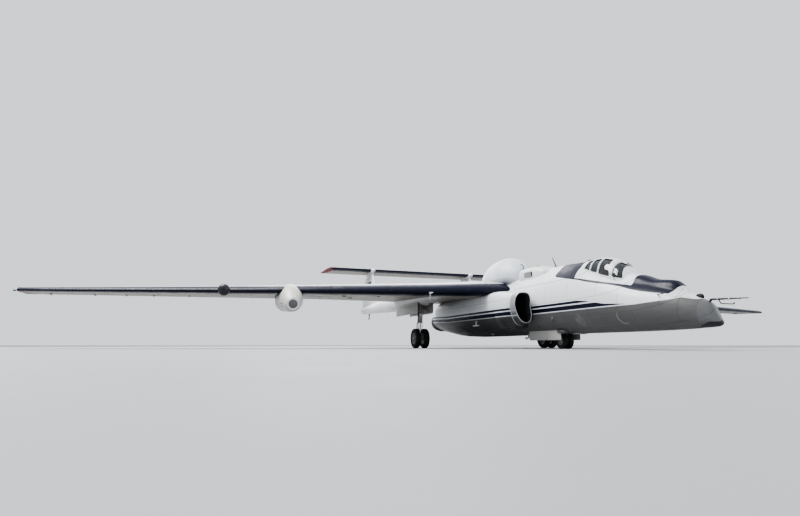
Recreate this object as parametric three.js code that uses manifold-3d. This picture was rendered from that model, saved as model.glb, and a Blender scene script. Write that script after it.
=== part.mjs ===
// High-altitude research aircraft: twin tail booms, side intakes and a long flat-bottomed wing.
// Millimetres. X runs to port along the span, Y runs aft from the nose tip, Z is up.
// Heights in the tables are measured from the axis of the tail booms.
import * as THREE from 'three';
import { mergeVertices } from 'three/addons/utils/BufferGeometryUtils.js';
import Module from 'manifold-3d';

const wasm = await Module();
wasm.setup();

// Driving dimensions
const BOOM_X = 3325; // also half of the wheel track
const BOOM_HEIGHT = 2260; // boom axis above the floor
const NOSE_PROBE_TIP = -710;
const BOOM_SPIKE_END = 22840;
const POD_X = 9150;
const PROBE_POD_X = 11600;
const FIN_TOP = 2330;
const NOSE_BAY = { half: 380, front: 5560, back: 7550, roof: -1050 };
const MAIN_BAY = { half: 340, front: 10900, back: 13950, wingBack: 13150, roof: 60 };
const MAIN_WHEEL = { track: 205, radius: 430, width: 220, rim: 235, axle: 45, sides: 20 };
const NOSE_WHEEL = { track: 115, radius: 290, width: 150, rim: 150, axle: 28, sides: 18 };
const WHEELBASE = 5665;
const NOSE_GEAR = { y: 5890, trail: 60, split: -1500, pin: 38 };
const MAIN_GEAR = { y: NOSE_GEAR.y + NOSE_GEAR.trail + WHEELBASE, knee: -1420, kneeOffset: 240 };
const JACK_PAD = { x: 2300, y: 11500, half: 75, bottom: -200, top: 20 };
const GAP = 0.3; // between pieces that touch
const LID_GAP = 6; // between the closed canopy and what it shuts on
const RUNNING_GAP = 12; // between a moving surface and its cove
const PIN_GAP = 0.3; // between a pin's edges and the flats of its socket
const PIN_SIDES = 12;

// Colours
const WHITE = { color: 0xdfe3e8, roughness: 0.35, metalness: 0.1 };
const GREY = { color: 0x73777d, roughness: 0.45, metalness: 0.1 };
const WING_GREY = { color: 0xb9b6ae, roughness: 0.5, metalness: 0.1 };
const GLASS = { color: 0x1b2126, roughness: 0.05, metalness: 0.0, transparent: true, opacity: 0.4 };
const METAL = { color: 0x8d9096, roughness: 0.35, metalness: 0.9 };
const HOT_METAL = { color: 0x4a4744, roughness: 0.45, metalness: 0.8 };
const TYRE = { color: 0x17181a, roughness: 0.9, metalness: 0.0 };
const COCKPIT_LOOK = { color: 0x3c4447, roughness: 0.7, metalness: 0.0 };

const aircraft = new THREE.Group();
const midLength = (NOSE_PROBE_TIP + BOOM_SPIKE_END) / 2;
aircraft.position.set(0, -midLength, BOOM_HEIGHT);

// Closed meshes and boolean joins

function solidFrom(geometry) {
  const bare = geometry.clone();
  bare.deleteAttribute('normal');
  bare.deleteAttribute('uv');
  const merged = mergeVertices(bare, 1e-4);
  const mesh = new wasm.Mesh({
    numProp: 3,
    vertProperties: new Float32Array(merged.attributes.position.array),
    triVerts: new Uint32Array(merged.index.array),
  });
  return new wasm.Manifold(mesh);
}

// Cuts can leave slivers beside the piece itself
function largestBody(solid) {
  const bodies = solid.decompose();
  return bodies.reduce((best, body) => (body.volume() > best.volume() ? body : best));
}

function addPiece(name, solid, look) {
  const { vertProperties, triVerts } = largestBody(solid).getMesh();
  const geometry = new THREE.BufferGeometry();
  geometry.setAttribute('position', new THREE.Float32BufferAttribute(vertProperties, 3));
  geometry.setIndex(new THREE.Uint32BufferAttribute(triVerts, 1));
  geometry.computeVertexNormals();
  const mesh = new THREE.Mesh(geometry, new THREE.MeshStandardMaterial(look));
  mesh.name = name;
  aircraft.add(mesh);
}

function joined(solids) {
  return solids.reduce((whole, solid) => whole.add(solid));
}

function mirrored(solid) {
  return solid.mirror([1, 0, 0]);
}

// Skins rings of points [x, y, z] and closes both ends with a fan to a tip, or to the ring's middle.
// isFlipped picks the other diagonal of a strip, so that a body's two sides mirror each other.
function loft(rings, startTip, endTip, isFlipped = () => false) {
  const size = rings[0].length;
  const last = rings.length - 1;
  const middle = (ring) => [0, 1, 2].map((k) => ring.reduce((sum, p) => sum + p[k], 0) / size);
  const points = [...rings.flat(), startTip ?? middle(rings[0]), endTip ?? middle(rings[last])];
  const index = [];
  for (let r = 0; r < last; r++) {
    for (let i = 0; i < size; i++) {
      const a = r * size + i;
      const b = r * size + ((i + 1) % size);
      if (isFlipped(i)) {
        index.push(a, b, b + size, a, b + size, a + size);
      } else {
        index.push(a, b, a + size, b, b + size, a + size);
      }
    }
  }
  for (let i = 0; i < size; i++) {
    const next = (i + 1) % size;
    index.push(next, i, points.length - 2);
    index.push(last * size + i, last * size + next, points.length - 1);
  }
  return closedSolid(points, index);
}

// A solid from points and triangles, turned outward if they wind inward
function closedSolid(points, index) {
  let volume = 0;
  const a = new THREE.Vector3();
  const b = new THREE.Vector3();
  const c = new THREE.Vector3();
  for (let i = 0; i < index.length; i += 3) {
    a.fromArray(points[index[i]]);
    b.fromArray(points[index[i + 1]]);
    c.fromArray(points[index[i + 2]]);
    volume += a.dot(b.cross(c));
  }
  const outward = volume > 0 ? index : [...index].reverse();
  const geometry = new THREE.BufferGeometry();
  geometry.setAttribute('position', new THREE.Float32BufferAttribute(points.flat(), 3));
  geometry.setIndex(outward);
  return solidFrom(geometry);
}

// Corner to corner box
function block(x0, x1, y0, y1, z0, z1) {
  const geometry = new THREE.BoxGeometry(x1 - x0, y1 - y0, z1 - z0);
  geometry.translate((x0 + x1) / 2, (y0 + y1) / 2, (z0 + z1) / 2);
  return solidFrom(geometry);
}

// Round bar between two points
function bar(from, to, radius, sides = 10, endRadius = radius, firstAngle = 0) {
  const start = new THREE.Vector3(...from);
  const end = new THREE.Vector3(...to);
  const length = start.distanceTo(end);
  const geometry = new THREE.CylinderGeometry(endRadius, radius, length, sides, 1, false, firstAngle);
  const direction = end.clone().sub(start).normalize();
  const turn = new THREE.Quaternion().setFromUnitVectors(new THREE.Vector3(0, 1, 0), direction);
  geometry.applyQuaternion(turn);
  const centre = start.add(end).multiplyScalar(0.5);
  geometry.translate(centre.x, centre.y, centre.z);
  return solidFrom(geometry);
}

// Solid of revolution about an axis along X, from a profile of [radius, x]
function wheelSolid(profile, sides, x, y, z) {
  const points = profile.map(([radius, offset]) => new THREE.Vector2(radius, offset));
  const geometry = new THREE.LatheGeometry([...points, points[0]], sides);
  geometry.rotateZ(-Math.PI / 2);
  geometry.rotateX(Math.PI / sides);
  geometry.translate(x, y, z);
  return solidFrom(geometry);
}

// One body section: an upper and a lower half superellipse that meet at the widest height
function bodyRing(section, sides, grow = 0, x = 0) {
  const { y, wide, half, top, bottom, squareTop, squareBottom } = section;
  const ring = [];
  for (let i = 0; i < sides; i++) {
    const angle = ((i + 0.5) / sides) * 2 * Math.PI;
    const cos = Math.cos(angle);
    const sin = Math.sin(angle);
    const power = 2 / (sin > 0 ? squareTop : squareBottom);
    const height = sin > 0 ? top - wide + grow : wide - bottom + grow;
    ring.push([
      x + (half + grow) * Math.sign(cos) * Math.abs(cos) ** power,
      y,
      wide + height * Math.sign(sin) * Math.abs(sin) ** power,
    ]);
  }
  return ring;
}

function bodyLoft(columns, rows, sides, options = {}) {
  const { grow = 0, x = 0, startTip, endTip } = options;
  const sections = rows.map((row) => Object.fromEntries(columns.map((name, k) => [name, row[k]])));
  const rings = sections.map((section) => bodyRing(section, sides, grow, x));
  const isLeft = (i) => Math.cos(((i + 1) / sides) * 2 * Math.PI) < 0;
  return loft(rings, startTip, endTip, isLeft);
}

// Hole for a pin, turned by half a facet so that its flats lie close to the pin's edges
function socket(from, to, pin) {
  const radius = (pin + PIN_GAP) / Math.cos(Math.PI / PIN_SIDES);
  return bar(from, to, radius, PIN_SIDES, radius, Math.PI / PIN_SIDES);
}

// Hinged surfaces: a round nose on the hinge axis and everything behind it, between two end planes.
// inset shortens it at both ends and keeps what is above and below the nose that far behind the axis.

function behindHinge(from, to, { radius, inset, reach }) {
  const tall = 900;
  const start = new THREE.Vector3(...from);
  const end = new THREE.Vector3(...to);
  const along = end.clone().sub(start).normalize();
  start.addScaledVector(along, inset);
  end.addScaledVector(along, -inset);
  const aft = new THREE.Vector3(0, 1, 0);
  aft.addScaledVector(along, -aft.dot(along)).normalize();
  const up = along.clone().cross(aft).normalize().multiplyScalar(tall);
  const near = aft.clone().multiplyScalar(inset);
  const far = aft.clone().multiplyScalar(reach);
  const corners = [start, end].map((p) => [
    p.clone().sub(up).add(near),
    p.clone().sub(up).add(far),
    p.clone().add(up).add(far),
    p.clone().add(up).add(near),
  ]);
  const prism = loft(corners.map((ring) => ring.map((p) => p.toArray())));
  return prism.add(bar(start.toArray(), end.toArray(), radius, 16));
}

// Splits a surface at its hinge into the fixed piece and the moving piece, with a pin at each end
function splitAtHinge(solid, { from, to, radius, reach, pin }) {
  const pinLength = pin * 2.5;
  const start = new THREE.Vector3(...from);
  const end = new THREE.Vector3(...to);
  const along = end.clone().sub(start).normalize();
  const at = (point, offset) => point.clone().addScaledVector(along, offset).toArray();
  const cove = behindHinge(from, to, { radius: radius + RUNNING_GAP, inset: 0, reach });
  const surface = behindHinge(from, to, { radius, inset: RUNNING_GAP, reach });
  const pins = [
    bar(at(start, -pinLength), at(start, RUNNING_GAP * 2), pin, PIN_SIDES),
    bar(at(end, -RUNNING_GAP * 2), at(end, pinLength), pin, PIN_SIDES),
  ];
  const sockets = [
    socket(at(start, -pinLength - PIN_GAP), at(start, RUNNING_GAP), pin),
    socket(at(end, -RUNNING_GAP), at(end, pinLength + PIN_GAP), pin),
  ];
  const fixed = solid.subtract(joined([cove, ...sockets]));
  const moving = joined([solid.intersect(surface), ...pins]);
  return { fixed, moving };
}

// Fuselage
// Columns: station, height of the widest line, half width, top, bottom, squareness above and below
const BODY_COLUMNS = ['y', 'wide', 'half', 'top', 'bottom', 'squareTop', 'squareBottom'];
const NOSE_ROWS = [
  [25, -1590, 65, -1510, -1655, 2, 2],
  [90, -1550, 128, -1365, -1688, 2, 2],
  [190, -1480, 200, -1140, -1700, 2, 2],
  [420, -1380, 328, -990, -1713, 2, 2],
  [750, -1290, 453, -825, -1726, 2, 2],
  [1150, -1200, 570, -620, -1736, 2, 2],
  [1700, -1080, 680, -440, -1745, 2, 2],
  [2450, -940, 770, -220, -1750, 2, 2],
  [3300, -770, 830, 150, -1750, 2, 2],
  [4100, -640, 860, 470, -1750, 2, 2],
  [4700, -585, 860, 580, -1750, 2, 2],
  [8000, -585, 860, 580, -1750, 2, 2],
];
// Deck in front of the windscreen, which is also the glareshield behind it
const DECK_ROWS = [
  [960, -760, 190, -590, -1000, 2.4, 2],
  [1160, -700, 260, -430, -1000, 2.4, 2],
  [1700, -620, 330, -330, -1000, 2.4, 2],
  [2200, -480, 380, -140, -900, 2.4, 2],
  [2700, -380, 420, -20, -800, 2.4, 2],
];
// Spine behind the canopy
const SPINE_ROWS = [
  [4330, 200, 420, 590, -200, 2.2, 2],
  [5000, 200, 380, 640, -200, 2.2, 2],
  [5900, 250, 330, 690, -200, 2.2, 2],
  [6600, 250, 300, 690, -200, 2.2, 2],
];
// Wide engine body
const TRUNK_ROWS = [
  [7050, -700, 1000, -330, -1300, 3, 2.1],
  [7350, -650, 1660, -112, -1512, 3.6, 2.1],
  [8500, -650, 1680, 10, -1600, 5, 2.05],
  [11000, -650, 1680, 40, -1630, 5, 2.05],
  [12600, -650, 1630, 40, -1640, 5, 2.05],
  [13800, -650, 1520, 20, -1610, 5, 2.1],
  [14700, -700, 1330, -40, -1500, 4, 2.2],
  [15350, -750, 1170, -120, -1420, 3.5, 2.3],
];
// Each intake: an egg-shaped mouth, leaning inboard at its lower end, that swells into the engine body
const INTAKE_ROWS = [
  [6250, -700, 340, -235, -1335, 3, 2.4],
  [6700, -700, 345, -232, -1345, 3, 2.4],
  [7000, -690, 400, -190, -1410, 3, 2.3],
  [7400, -670, 490, -130, -1500, 3.2, 2.2],
  [8000, -650, 560, -60, -1540, 3.5, 2.1],
];
const INTAKE_OUTBOARD = [1640, 1645, 1650, 1655, 1655];
const INTAKE_LEAN = [240, 235, 170, 80, 0];
// Upper and lower ridge of the engine body, in line with the forward fuselage
const CORE_ROWS = [
  [8000, -585, 860, 580, -1750, 2, 2],
  [11000, -585, 860, 640, -1750, 2, 2],
  [13000, -600, 800, 540, -1700, 2, 2],
  [14500, -650, 700, 220, -1560, 2, 2],
  [15350, -700, 600, -130, -1430, 2, 2],
];
// Raised equipment bay on the spine, and the white dome behind it
const EQUIPMENT_ROWS = [
  [6500, 450, 400, 720, 100, 3, 2],
  [6800, 500, 480, 840, 100, 3, 2],
  [7900, 500, 520, 880, 100, 3, 2],
];
const DOME_ROWS = [
  [8130, 620, 300, 900, 300, 2, 2],
  [8300, 620, 520, 1120, 300, 2, 2],
  [8700, 620, 760, 1420, 300, 2, 2],
  [9300, 620, 880, 1570, 300, 2, 2],
  [9900, 620, 860, 1540, 300, 2, 2],
  [10500, 620, 720, 1370, 300, 2, 2],
  [11000, 620, 480, 1090, 300, 2, 2],
];
const NOSE_SIDES = 20;
const TRUNK_SIDES = 24;
const NOSE_END = 8000;
const DIVERTER = 60; // air gap between the fuselage side and the intake
const DIVERTER_END = 7100;
const LIP = 35; // wall of the intake
const INNER_WALL = 45;
const DUCT_END = 9300;
const MOUTH_TOP = 6400; // the mouth leans: its lower lip is further aft
const MOUTH_LEAN = 0.24;
const NOZZLE = { x: 560, z: -900, start: 15350, end: 15930, wide: 500, narrow: 440, wall: 30 };
const NOZZLE_CONE_END = 15600;

function noseBody(grow) {
  return bodyLoft(BODY_COLUMNS, NOSE_ROWS, NOSE_SIDES, { grow, startTip: [0, 0, -1600] });
}

function deckBody(grow) {
  return bodyLoft(BODY_COLUMNS, DECK_ROWS, 16, { grow, startTip: [0, 900, -800] });
}

function spineBody(grow) {
  return bodyLoft(BODY_COLUMNS, SPINE_ROWS, 16, { grow });
}

function trunkBody(grow) {
  return bodyLoft(BODY_COLUMNS, TRUNK_ROWS, TRUNK_SIDES, { grow });
}

function intakeBody(grow) {
  const rings = INTAKE_ROWS.map((row, k) => {
    const section = Object.fromEntries(BODY_COLUMNS.map((name, column) => [name, row[column]]));
    const { wide, half, bottom } = section;
    const lean = (z) => INTAKE_LEAN[k] * Math.max(0, (wide - z) / (wide - bottom));
    const ring = bodyRing(section, TRUNK_SIDES, grow, INTAKE_OUTBOARD[k] - half);
    return ring.map(([x, y, z]) => [x - lean(z), y, z]);
  });
  const port = loft(rings);
  return port.add(mirrored(port));
}

function coreBody(grow) {
  return bodyLoft(BODY_COLUMNS, CORE_ROWS, NOSE_SIDES, { grow });
}

// Canopy bubble, from the foot of the windscreen to the rear frame
const CANOPY_ROWS = [
  [2440, -420, 300, -190, -900, 2, 2],
  [2600, -330, 430, 30, -900, 2, 2],
  [2800, -260, 500, 270, -800, 2.1, 2],
  [3100, -150, 525, 480, -700, 2.1, 2],
  [3500, -30, 530, 600, -600, 2.1, 2],
  [3900, 60, 530, 630, -500, 2.1, 2],
  [4320, 120, 510, 610, -400, 2.1, 2],
];
const CANOPY_SKIN = 36;
const GLASS_SKIN = 12;
const WINDSCREEN_END = 2960;
const CANOPY_END = 4300;
const REAR_WALL = 40;
const SILL_HALF = 450;
const CANOPY_HINGE = { y: 4345, z: 655, pin: 12, lug: 60, width: 90, arm: 26 };
const COCKPIT = { start: 2720, end: 4180, floor: -1150, wall: 90 };
// Window openings as side views: foot and head corners as [y, z]
const PANES = {
  windscreen: [[2600, -200], [2890, -120], [2890, 335], [2750, 215]],
  front: [[3030, -80], [3430, 65], [3430, 520], [3140, 430]],
  middle: [[3520, 105], [3790, 190], [3790, 545], [3520, 535]],
  rear: [[3860, 210], [4090, 300], [4020, 535], [3860, 545]],
};

function canopyBody(grow) {
  return bodyLoft(BODY_COLUMNS, CANOPY_ROWS, 16, { grow });
}

function paneCutter(corners) {
  return loft([-900, 900].map((x) => corners.map(([y, z]) => [x, y, z])));
}

function makeForwardFuselage() {
  const { start, end, floor, wall } = COCKPIT;
  const tub = noseBody(-wall).intersect(block(-2000, 2000, start, end, floor, 2000));
  const hatch = block(-SILL_HALF, SILL_HALF, start, end, floor + 300, 2000);
  const { half, front, back, roof } = NOSE_BAY;
  const bay = block(-half, half, front, back, -3000, roof);
  const hinge = canopyHinge();
  const whole = joined([noseBody(0), deckBody(0), spineBody(0), hinge.lugs]);
  const cuts = joined([tub, hatch, bay, chinRegion(GAP), hinge.hole]);
  addPiece('fuselage_nose', whole.subtract(cuts), WHITE);
  addPiece('nose_window', noseBody(0).intersect(chinRegion(0)), GLASS);
}

// Region of the dark glazed chin at the tip of the nose
function chinRegion(grow) {
  const top = -1575 + grow;
  const back = 560 + grow;
  const side = [[-400, top], [200 + grow, top], [back, -1720], [back, -1900], [-400, -1900]];
  return loft([-600, 600].map((x) => side.map(([y, z]) => [x, y, z])));
}

// Rear hinge of the canopy: two lugs on the spine, and an arm on the lid with the pin through them
function canopyHinge() {
  const { y, z, pin, lug, width, arm } = CANOPY_HINGE;
  const lugAt = (side) => {
    const near = side * (lug + 6);
    const far = side * (lug + 34);
    const low = Math.min(near, far);
    const high = Math.max(near, far);
    return joined([
      block(low, high, y - arm, y + 330, z - 180, z - arm / 2),
      bar([low, y, z], [high, y, z], arm, PIN_SIDES),
      block(low, high, y - arm, y + arm, z - 120, z),
    ]);
  };
  const front = CANOPY_END - REAR_WALL + 5;
  const rear = CANOPY_END - 1;
  const armProfile = [
    [front, z - 130], [rear, z - 130], [rear, z - arm], [y, z - arm], [y + arm * 0.7, z - arm * 0.7],
    [y + arm, z], [y + arm * 0.7, z + arm * 0.7], [y, z + arm], [front, z - 45],
  ];
  return {
    lugs: lugAt(1).add(lugAt(-1)),
    hole: socket([-width * 2, y, z], [width * 2, y, z], pin),
    arm: loft([-lug, lug].map((x) => armProfile.map(([ay, az]) => [x, ay, az])))
      .add(bar([-width, y, z], [width, y, z], pin, PIN_SIDES)),
  };
}

function makeCanopy() {
  const fixedSeat = joined([noseBody(GAP), deckBody(GAP)]);
  const lidSeat = joined([noseBody(LID_GAP), deckBody(LID_GAP)]);
  const windows = joined(Object.values(PANES).map(paneCutter));
  const between = (start, end) => block(-2000, 2000, start, end, -2000, 2000);
  const wallFront = CANOPY_END - REAR_WALL;
  const rearWall = between(wallFront, CANOPY_END).intersect(canopyBody(0));
  const frame = canopyBody(0).subtract(canopyBody(-CANOPY_SKIN)).add(rearWall).subtract(windows);
  const glass = canopyBody(-CANOPY_SKIN - GAP).subtract(canopyBody(-CANOPY_SKIN - GLASS_SKIN));
  const front = between(0, WINDSCREEN_END - LID_GAP / 2);
  const rear = between(WINDSCREEN_END + LID_GAP / 2, CANOPY_END);
  const rearGlass = between(WINDSCREEN_END + LID_GAP / 2, wallFront - GAP);
  addPiece('windscreen_frame', frame.intersect(front).subtract(fixedSeat), WHITE);
  addPiece('windscreen_glass', glass.intersect(front).subtract(fixedSeat), GLASS);
  addPiece('canopy_frame', frame.intersect(rear).subtract(lidSeat).add(canopyHinge().arm), WHITE);
  addPiece('canopy_glass', glass.intersect(rearGlass).subtract(lidSeat), GLASS);
}

// Seat as a side profile [y, z], with the panel and the stick in front of it
function makeCockpitFittings() {
  const floor = COCKPIT.floor + GAP;
  const slab = (half, side) => loft([-half, half].map((x) => side.map(([y, z]) => [x, y, z])));
  const pan = slab(240, [[3350, floor], [3350, -820], [3840, -780], [3900, floor]]);
  const back = slab(240, [[3830, floor], [3830, -790], [3990, -60], [4130, -60], [4000, floor]]);
  const headrest = slab(150, [[3990, -70], [3960, 200], [4090, 210], [4120, -70]]);
  addPiece('pilot_seat', joined([pan, back, headrest]), COCKPIT_LOOK);
  const face = [[2760, -520], [2860, -560], [2900, -180], [2780, -150]];
  const panel = slab(400, face);
  const pedestal = block(-110, 110, 2780, 2900, floor, -400);
  addPiece('instrument_panel', panel.add(pedestal), COCKPIT_LOOK);
  const foot = block(-60, 60, 3130, 3250, floor, floor + 60);
  const stick = bar([0, 3190, floor + 40], [0, 3160, -640], 18, 10);
  addPiece('control_stick', foot.add(stick), COCKPIT_LOOK);
}

// Air data boom on top of the nose, with a second, cranked probe under it
function makeNoseProbe() {
  const foot = bar([0, 330, -1180], [0, 200, -1010], 34, 8, 26);
  const tube = bar([0, 260, -1020], [0, NOSE_PROBE_TIP, -1070], 24, 8, 12);
  const elbow = bar([0, 40, -1030], [0, -20, -1145], 26, 8, 24);
  const arm = bar([0, -5, -1140], [0, -330, -1180], 24, 8, 20);
  const tip = bar([0, -320, -1185], [0, -345, -1140], 22, 8, 14);
  addPiece('nose_probe', joined([foot, tube, elbow, arm, tip]).subtract(noseBody(GAP)), METAL);
}

function mouthRegion() {
  const lean = (z) => MOUTH_TOP + (-190 - z) * MOUTH_LEAN;
  const side = [[0, 500], [lean(500), 500], [lean(-2500), -2500], [0, -2500]];
  return loft([-3000, 3000].map((x) => side.map(([y, z]) => [x, y, z])));
}

function makeEngineBody() {
  const diverter = noseBody(DIVERTER).intersect(block(-3000, 3000, 0, DIVERTER_END, -3000, 3000));
  const duct = trunkBody(-LIP)
    .add(intakeBody(-LIP))
    .intersect(block(-3000, 3000, 0, DUCT_END, -3000, -60))
    .subtract(noseBody(DIVERTER + INNER_WALL).add(coreBody(DIVERTER + INNER_WALL)));
  const behindNose = block(-3000, 3000, NOSE_END + GAP, 20000, -3000, 3000);
  const whole = joined([trunkBody(0), intakeBody(0), coreBody(0).intersect(behindNose)]);
  const body = whole.subtract(joined([mouthRegion(), diverter, noseBody(GAP), spineBody(GAP), duct]));
  addPiece('engine_body', body, GREY);
}

function makeDorsalPieces(wing) {
  const under = joined([noseBody(GAP), spineBody(GAP), coreBody(GAP), trunkBody(GAP), wing, mirrored(wing)]);
  const bay = bodyLoft(BODY_COLUMNS, EQUIPMENT_ROWS, 16, { startTip: [0, 6250, 500] });
  const dome = bodyLoft(BODY_COLUMNS, DOME_ROWS, 16, { startTip: [0, 8050, 600], endTip: [0, 11300, 620] });
  addPiece('equipment_fairing', bay.subtract(under), WHITE);
  addPiece('dorsal_dome', dome.subtract(under), WHITE);
}

function makeNozzles() {
  const { x, z, start, end, wide, narrow, wall } = NOZZLE;
  const cowl = bar([x, start + GAP, z], [x, end, z], wide, 24, narrow);
  const pipe = bar([x, start + 120, z], [x, end + 50, z], narrow - wall, 24);
  const cone = bar([x, start + 100, z], [x, NOZZLE_CONE_END, z], 210, 12, 60);
  const nozzle = cowl.subtract(pipe).add(cone);
  addPiece('nozzle_port', nozzle, HOT_METAL);
  addPiece('nozzle_starboard', mirrored(nozzle), HOT_METAL);
}

// Wings
// Columns: span position, leading edge y, trailing edge y, chord line height, thickness share, tip rake
const WING_INNER_ROWS = [
  [700, 8230, 14870, 20, 0.12, 0],
  [1780, 8440, 14520, 15, 0.12, 0],
  [3325, 8900, 14060, 0, 0.122, 0],
  [7620 - GAP, 9830, 13430, -45, 0.125, 0],
];
const WING_OUTER_ROWS = [
  [7620, 9830, 13430, -45, 0.125, 0],
  [11800, 10650, 13400, -105, 0.12, 0],
  [18490, 11650, 13210, -210, 0.11, 240],
];
const WING_CAMBER = 0.035;
const CHORD_STATIONS = [0, 0.015, 0.07, 0.18, 0.36, 0.58, 0.8, 1];
const FLAP = { from: [3900, 12950, 72], to: [7480, 12620, 22], radius: 140, reach: 1600, pin: 24 };
const AILERON = { from: [12550, 12690, -52], to: [18000, 12830, -160], radius: 92, reach: 1100, pin: 18 };

// Aerofoil outline as [chord share, height share, side], from the trailing edge over the top and back
function aerofoil(thickness, camber) {
  const half = (s) => {
    const bow = 0.2969 * Math.sqrt(s) - 0.126 * s - 0.3516 * s * s + 0.2843 * s ** 3 - 0.1036 * s ** 4;
    return 5 * thickness * bow + 0.0035 * s;
  };
  const mean = (s) => camber * (s < 0.4 ? (0.8 * s - s * s) / 0.16 : (0.2 + 0.8 * s - s * s) / 0.36);
  const over = [...CHORD_STATIONS].reverse().map((s) => [s, mean(s) + half(s), 1]);
  const under = CHORD_STATIONS.slice(1).map((s) => [s, mean(s) - half(s), -1]);
  return [...over, ...under];
}

function wingRing([x, leading, trailing, z, thickness, rake], camber, grow) {
  const chord = trailing - leading;
  return aerofoil(thickness, camber).map(([s, h, side]) => [
    x + rake * s,
    leading + s * chord + (2 * s - 1) * grow,
    z + h * chord + side * grow,
  ]);
}

function wingLoft(rows, camber = WING_CAMBER, grow = 0) {
  return loft(rows.map((row) => wingRing(row, camber, grow)));
}

function makeWings() {
  const { half, front, wingBack, roof } = MAIN_BAY;
  const bay = block(BOOM_X - half, BOOM_X + half, front, wingBack, -3000, roof);
  const inner = wingLoft(WING_INNER_ROWS).subtract(joined([trunkBody(GAP), coreBody(GAP), bay]));
  const flap = splitAtHinge(inner, FLAP);
  const { x, y, half: padHalf, bottom, top } = JACK_PAD;
  const pad = block(x - padHalf, x + padHalf, y - padHalf, y + padHalf, bottom, top);
  const fixedInner = flap.fixed.add(pad);
  const aileron = splitAtHinge(wingLoft(WING_OUTER_ROWS), AILERON);
  const pieces = {
    wing_inner: fixedInner,
    flap: flap.moving,
    wing_outer: aileron.fixed,
    aileron: aileron.moving,
  };
  for (const [name, solid] of Object.entries(pieces)) {
    addPiece(`${name}_port`, solid, WING_GREY);
    addPiece(`${name}_starboard`, mirrored(solid), WING_GREY);
  }
}

// Sensor pods that wrap the leading edge, and small probe pods further out
const POD_ROWS = [
  [9420, -640, 225, -415, -865, 2, 2],
  [9700, -540, 350, -180, -900, 2, 2],
  [10100, -420, 440, 80, -890, 2, 2],
  [10800, -340, 480, 260, -840, 2, 2],
  [12000, -270, 470, 240, -740, 2, 2],
  [12500, -250, 450, 190, -715, 2, 2],
  [12900, -220, 385, 110, -640, 2, 2],
  [13200, -210, 240, 10, -530, 2, 2],
];
const POD_TAIL = [POD_X, 13340, -300];
const POD_WINDOW = { y: 9420, z: -640, radius: 165, depth: 60 };
const PROBE_ROWS = [
  [10150, -100, 120, 20, -220, 2, 2],
  [10250, -100, 200, 100, -300, 2, 2],
  [10380, -100, 220, 120, -320, 2, 2],
  [10560, -100, 190, 90, -290, 2, 2],
  [10900, -90, 150, 70, -240, 2, 2],
];

function makePods() {
  const wing = wingLoft(WING_OUTER_ROWS, WING_CAMBER, GAP);
  const { y, z, radius, depth } = POD_WINDOW;
  const podBody = bodyLoft(BODY_COLUMNS, POD_ROWS, 16, { x: POD_X, endTip: POD_TAIL });
  const recess = bar([POD_X, y - 50, z], [POD_X, y + depth, z], radius, 16);
  const pod = podBody.subtract(wing).subtract(recess);
  const window = bar([POD_X, y + 20, z], [POD_X, y + depth - GAP, z], radius - GAP * 2, 16);
  const probe = bodyLoft(BODY_COLUMNS, PROBE_ROWS, 12, {
    x: PROBE_POD_X,
    startTip: [PROBE_POD_X, 10110, -100],
    endTip: [PROBE_POD_X, 11300, -80],
  }).subtract(wing);
  const pieces = { sensor_pod: [pod, WHITE], pod_window: [window, GLASS], probe_pod: [probe, METAL] };
  for (const [name, [solid, look]] of Object.entries(pieces)) {
    addPiece(`${name}_port`, solid, look);
    addPiece(`${name}_starboard`, mirrored(solid), look);
  }
}

// Tail booms
// Columns: station, axis height, radius
const BOOM_ROWS = [
  [9520, 0, 100],
  [9650, 0, 220],
  [9900, 0, 330],
  [10300, 0, 405],
  [11200, 0, 445],
  [14000, 0, 442],
  [15000, 0, 425],
  [16000, 5, 390],
  [18000, 25, 332],
  [20000, 38, 268],
  [21000, 42, 240],
  [21500, 44, 220],
  [22000, 48, 160],
  [22300, 55, 95],
];
const BOOM_NOSE = 9470;
const BOOM_END = [22460, 60];
const SPIKE_RADIUS = 60;

function boomBody(grow) {
  const rows = BOOM_ROWS.map(([y, z, r]) => [y, z, r, z + r, z - r, 2, 2]);
  return bodyLoft(BODY_COLUMNS, rows, 16, {
    grow,
    x: BOOM_X,
    startTip: [BOOM_X, BOOM_NOSE, 0],
    endTip: [BOOM_X, BOOM_END[0], BOOM_END[1]],
  });
}

function makeBooms() {
  const { half, front, back } = MAIN_BAY;
  const wing = wingLoft(WING_INNER_ROWS, WING_CAMBER, GAP);
  const bay = block(BOOM_X - half, BOOM_X + half, front, back, -3000, 120);
  const body = boomBody(0).subtract(wing).subtract(bay);
  const spike = bar([BOOM_X, 22350, 60], [BOOM_X, BOOM_SPIKE_END, 60], SPIKE_RADIUS, 10, 14);
  addPiece('boom_port', body.add(spike), WHITE);
  addPiece('boom_starboard', mirrored(body), WHITE);
}

// Fins, tailplane and their hinged surfaces
// Columns: height, leading edge y, trailing edge y, thickness share
const FIN_ROWS = [
  [0, 17900, 22230, 0.06],
  [420, 18480, 22180, 0.08],
  [800, 18750, 22140, 0.09],
  [FIN_TOP, 19700, 21980, 0.095],
];
const RUDDER = { from: [BOOM_X, 20925, 440], to: [BOOM_X, 21190, 2090], radius: 110, reach: 1500, pin: 20 };
const TAIL_ROWS = [
  [0, 19650, 22000, 2450, 0.1, 0],
  [5830, 19650, 22000, 2450, 0.1, 350],
];
const ELEVATOR = { from: [-5500, 21170, 2450], to: [5500, 21170, 2450], radius: 86, reach: 1200, pin: 20 };
const BULLET_ROWS = [
  [19330, 2400, 40, 2440, 2360, 2, 2],
  [19450, 2400, 95, 2500, 2300, 2, 2],
  [19700, 2400, 120, 2540, 2260, 2, 2],
  [20200, 2400, 110, 2540, 2270, 2, 2],
];

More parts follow.
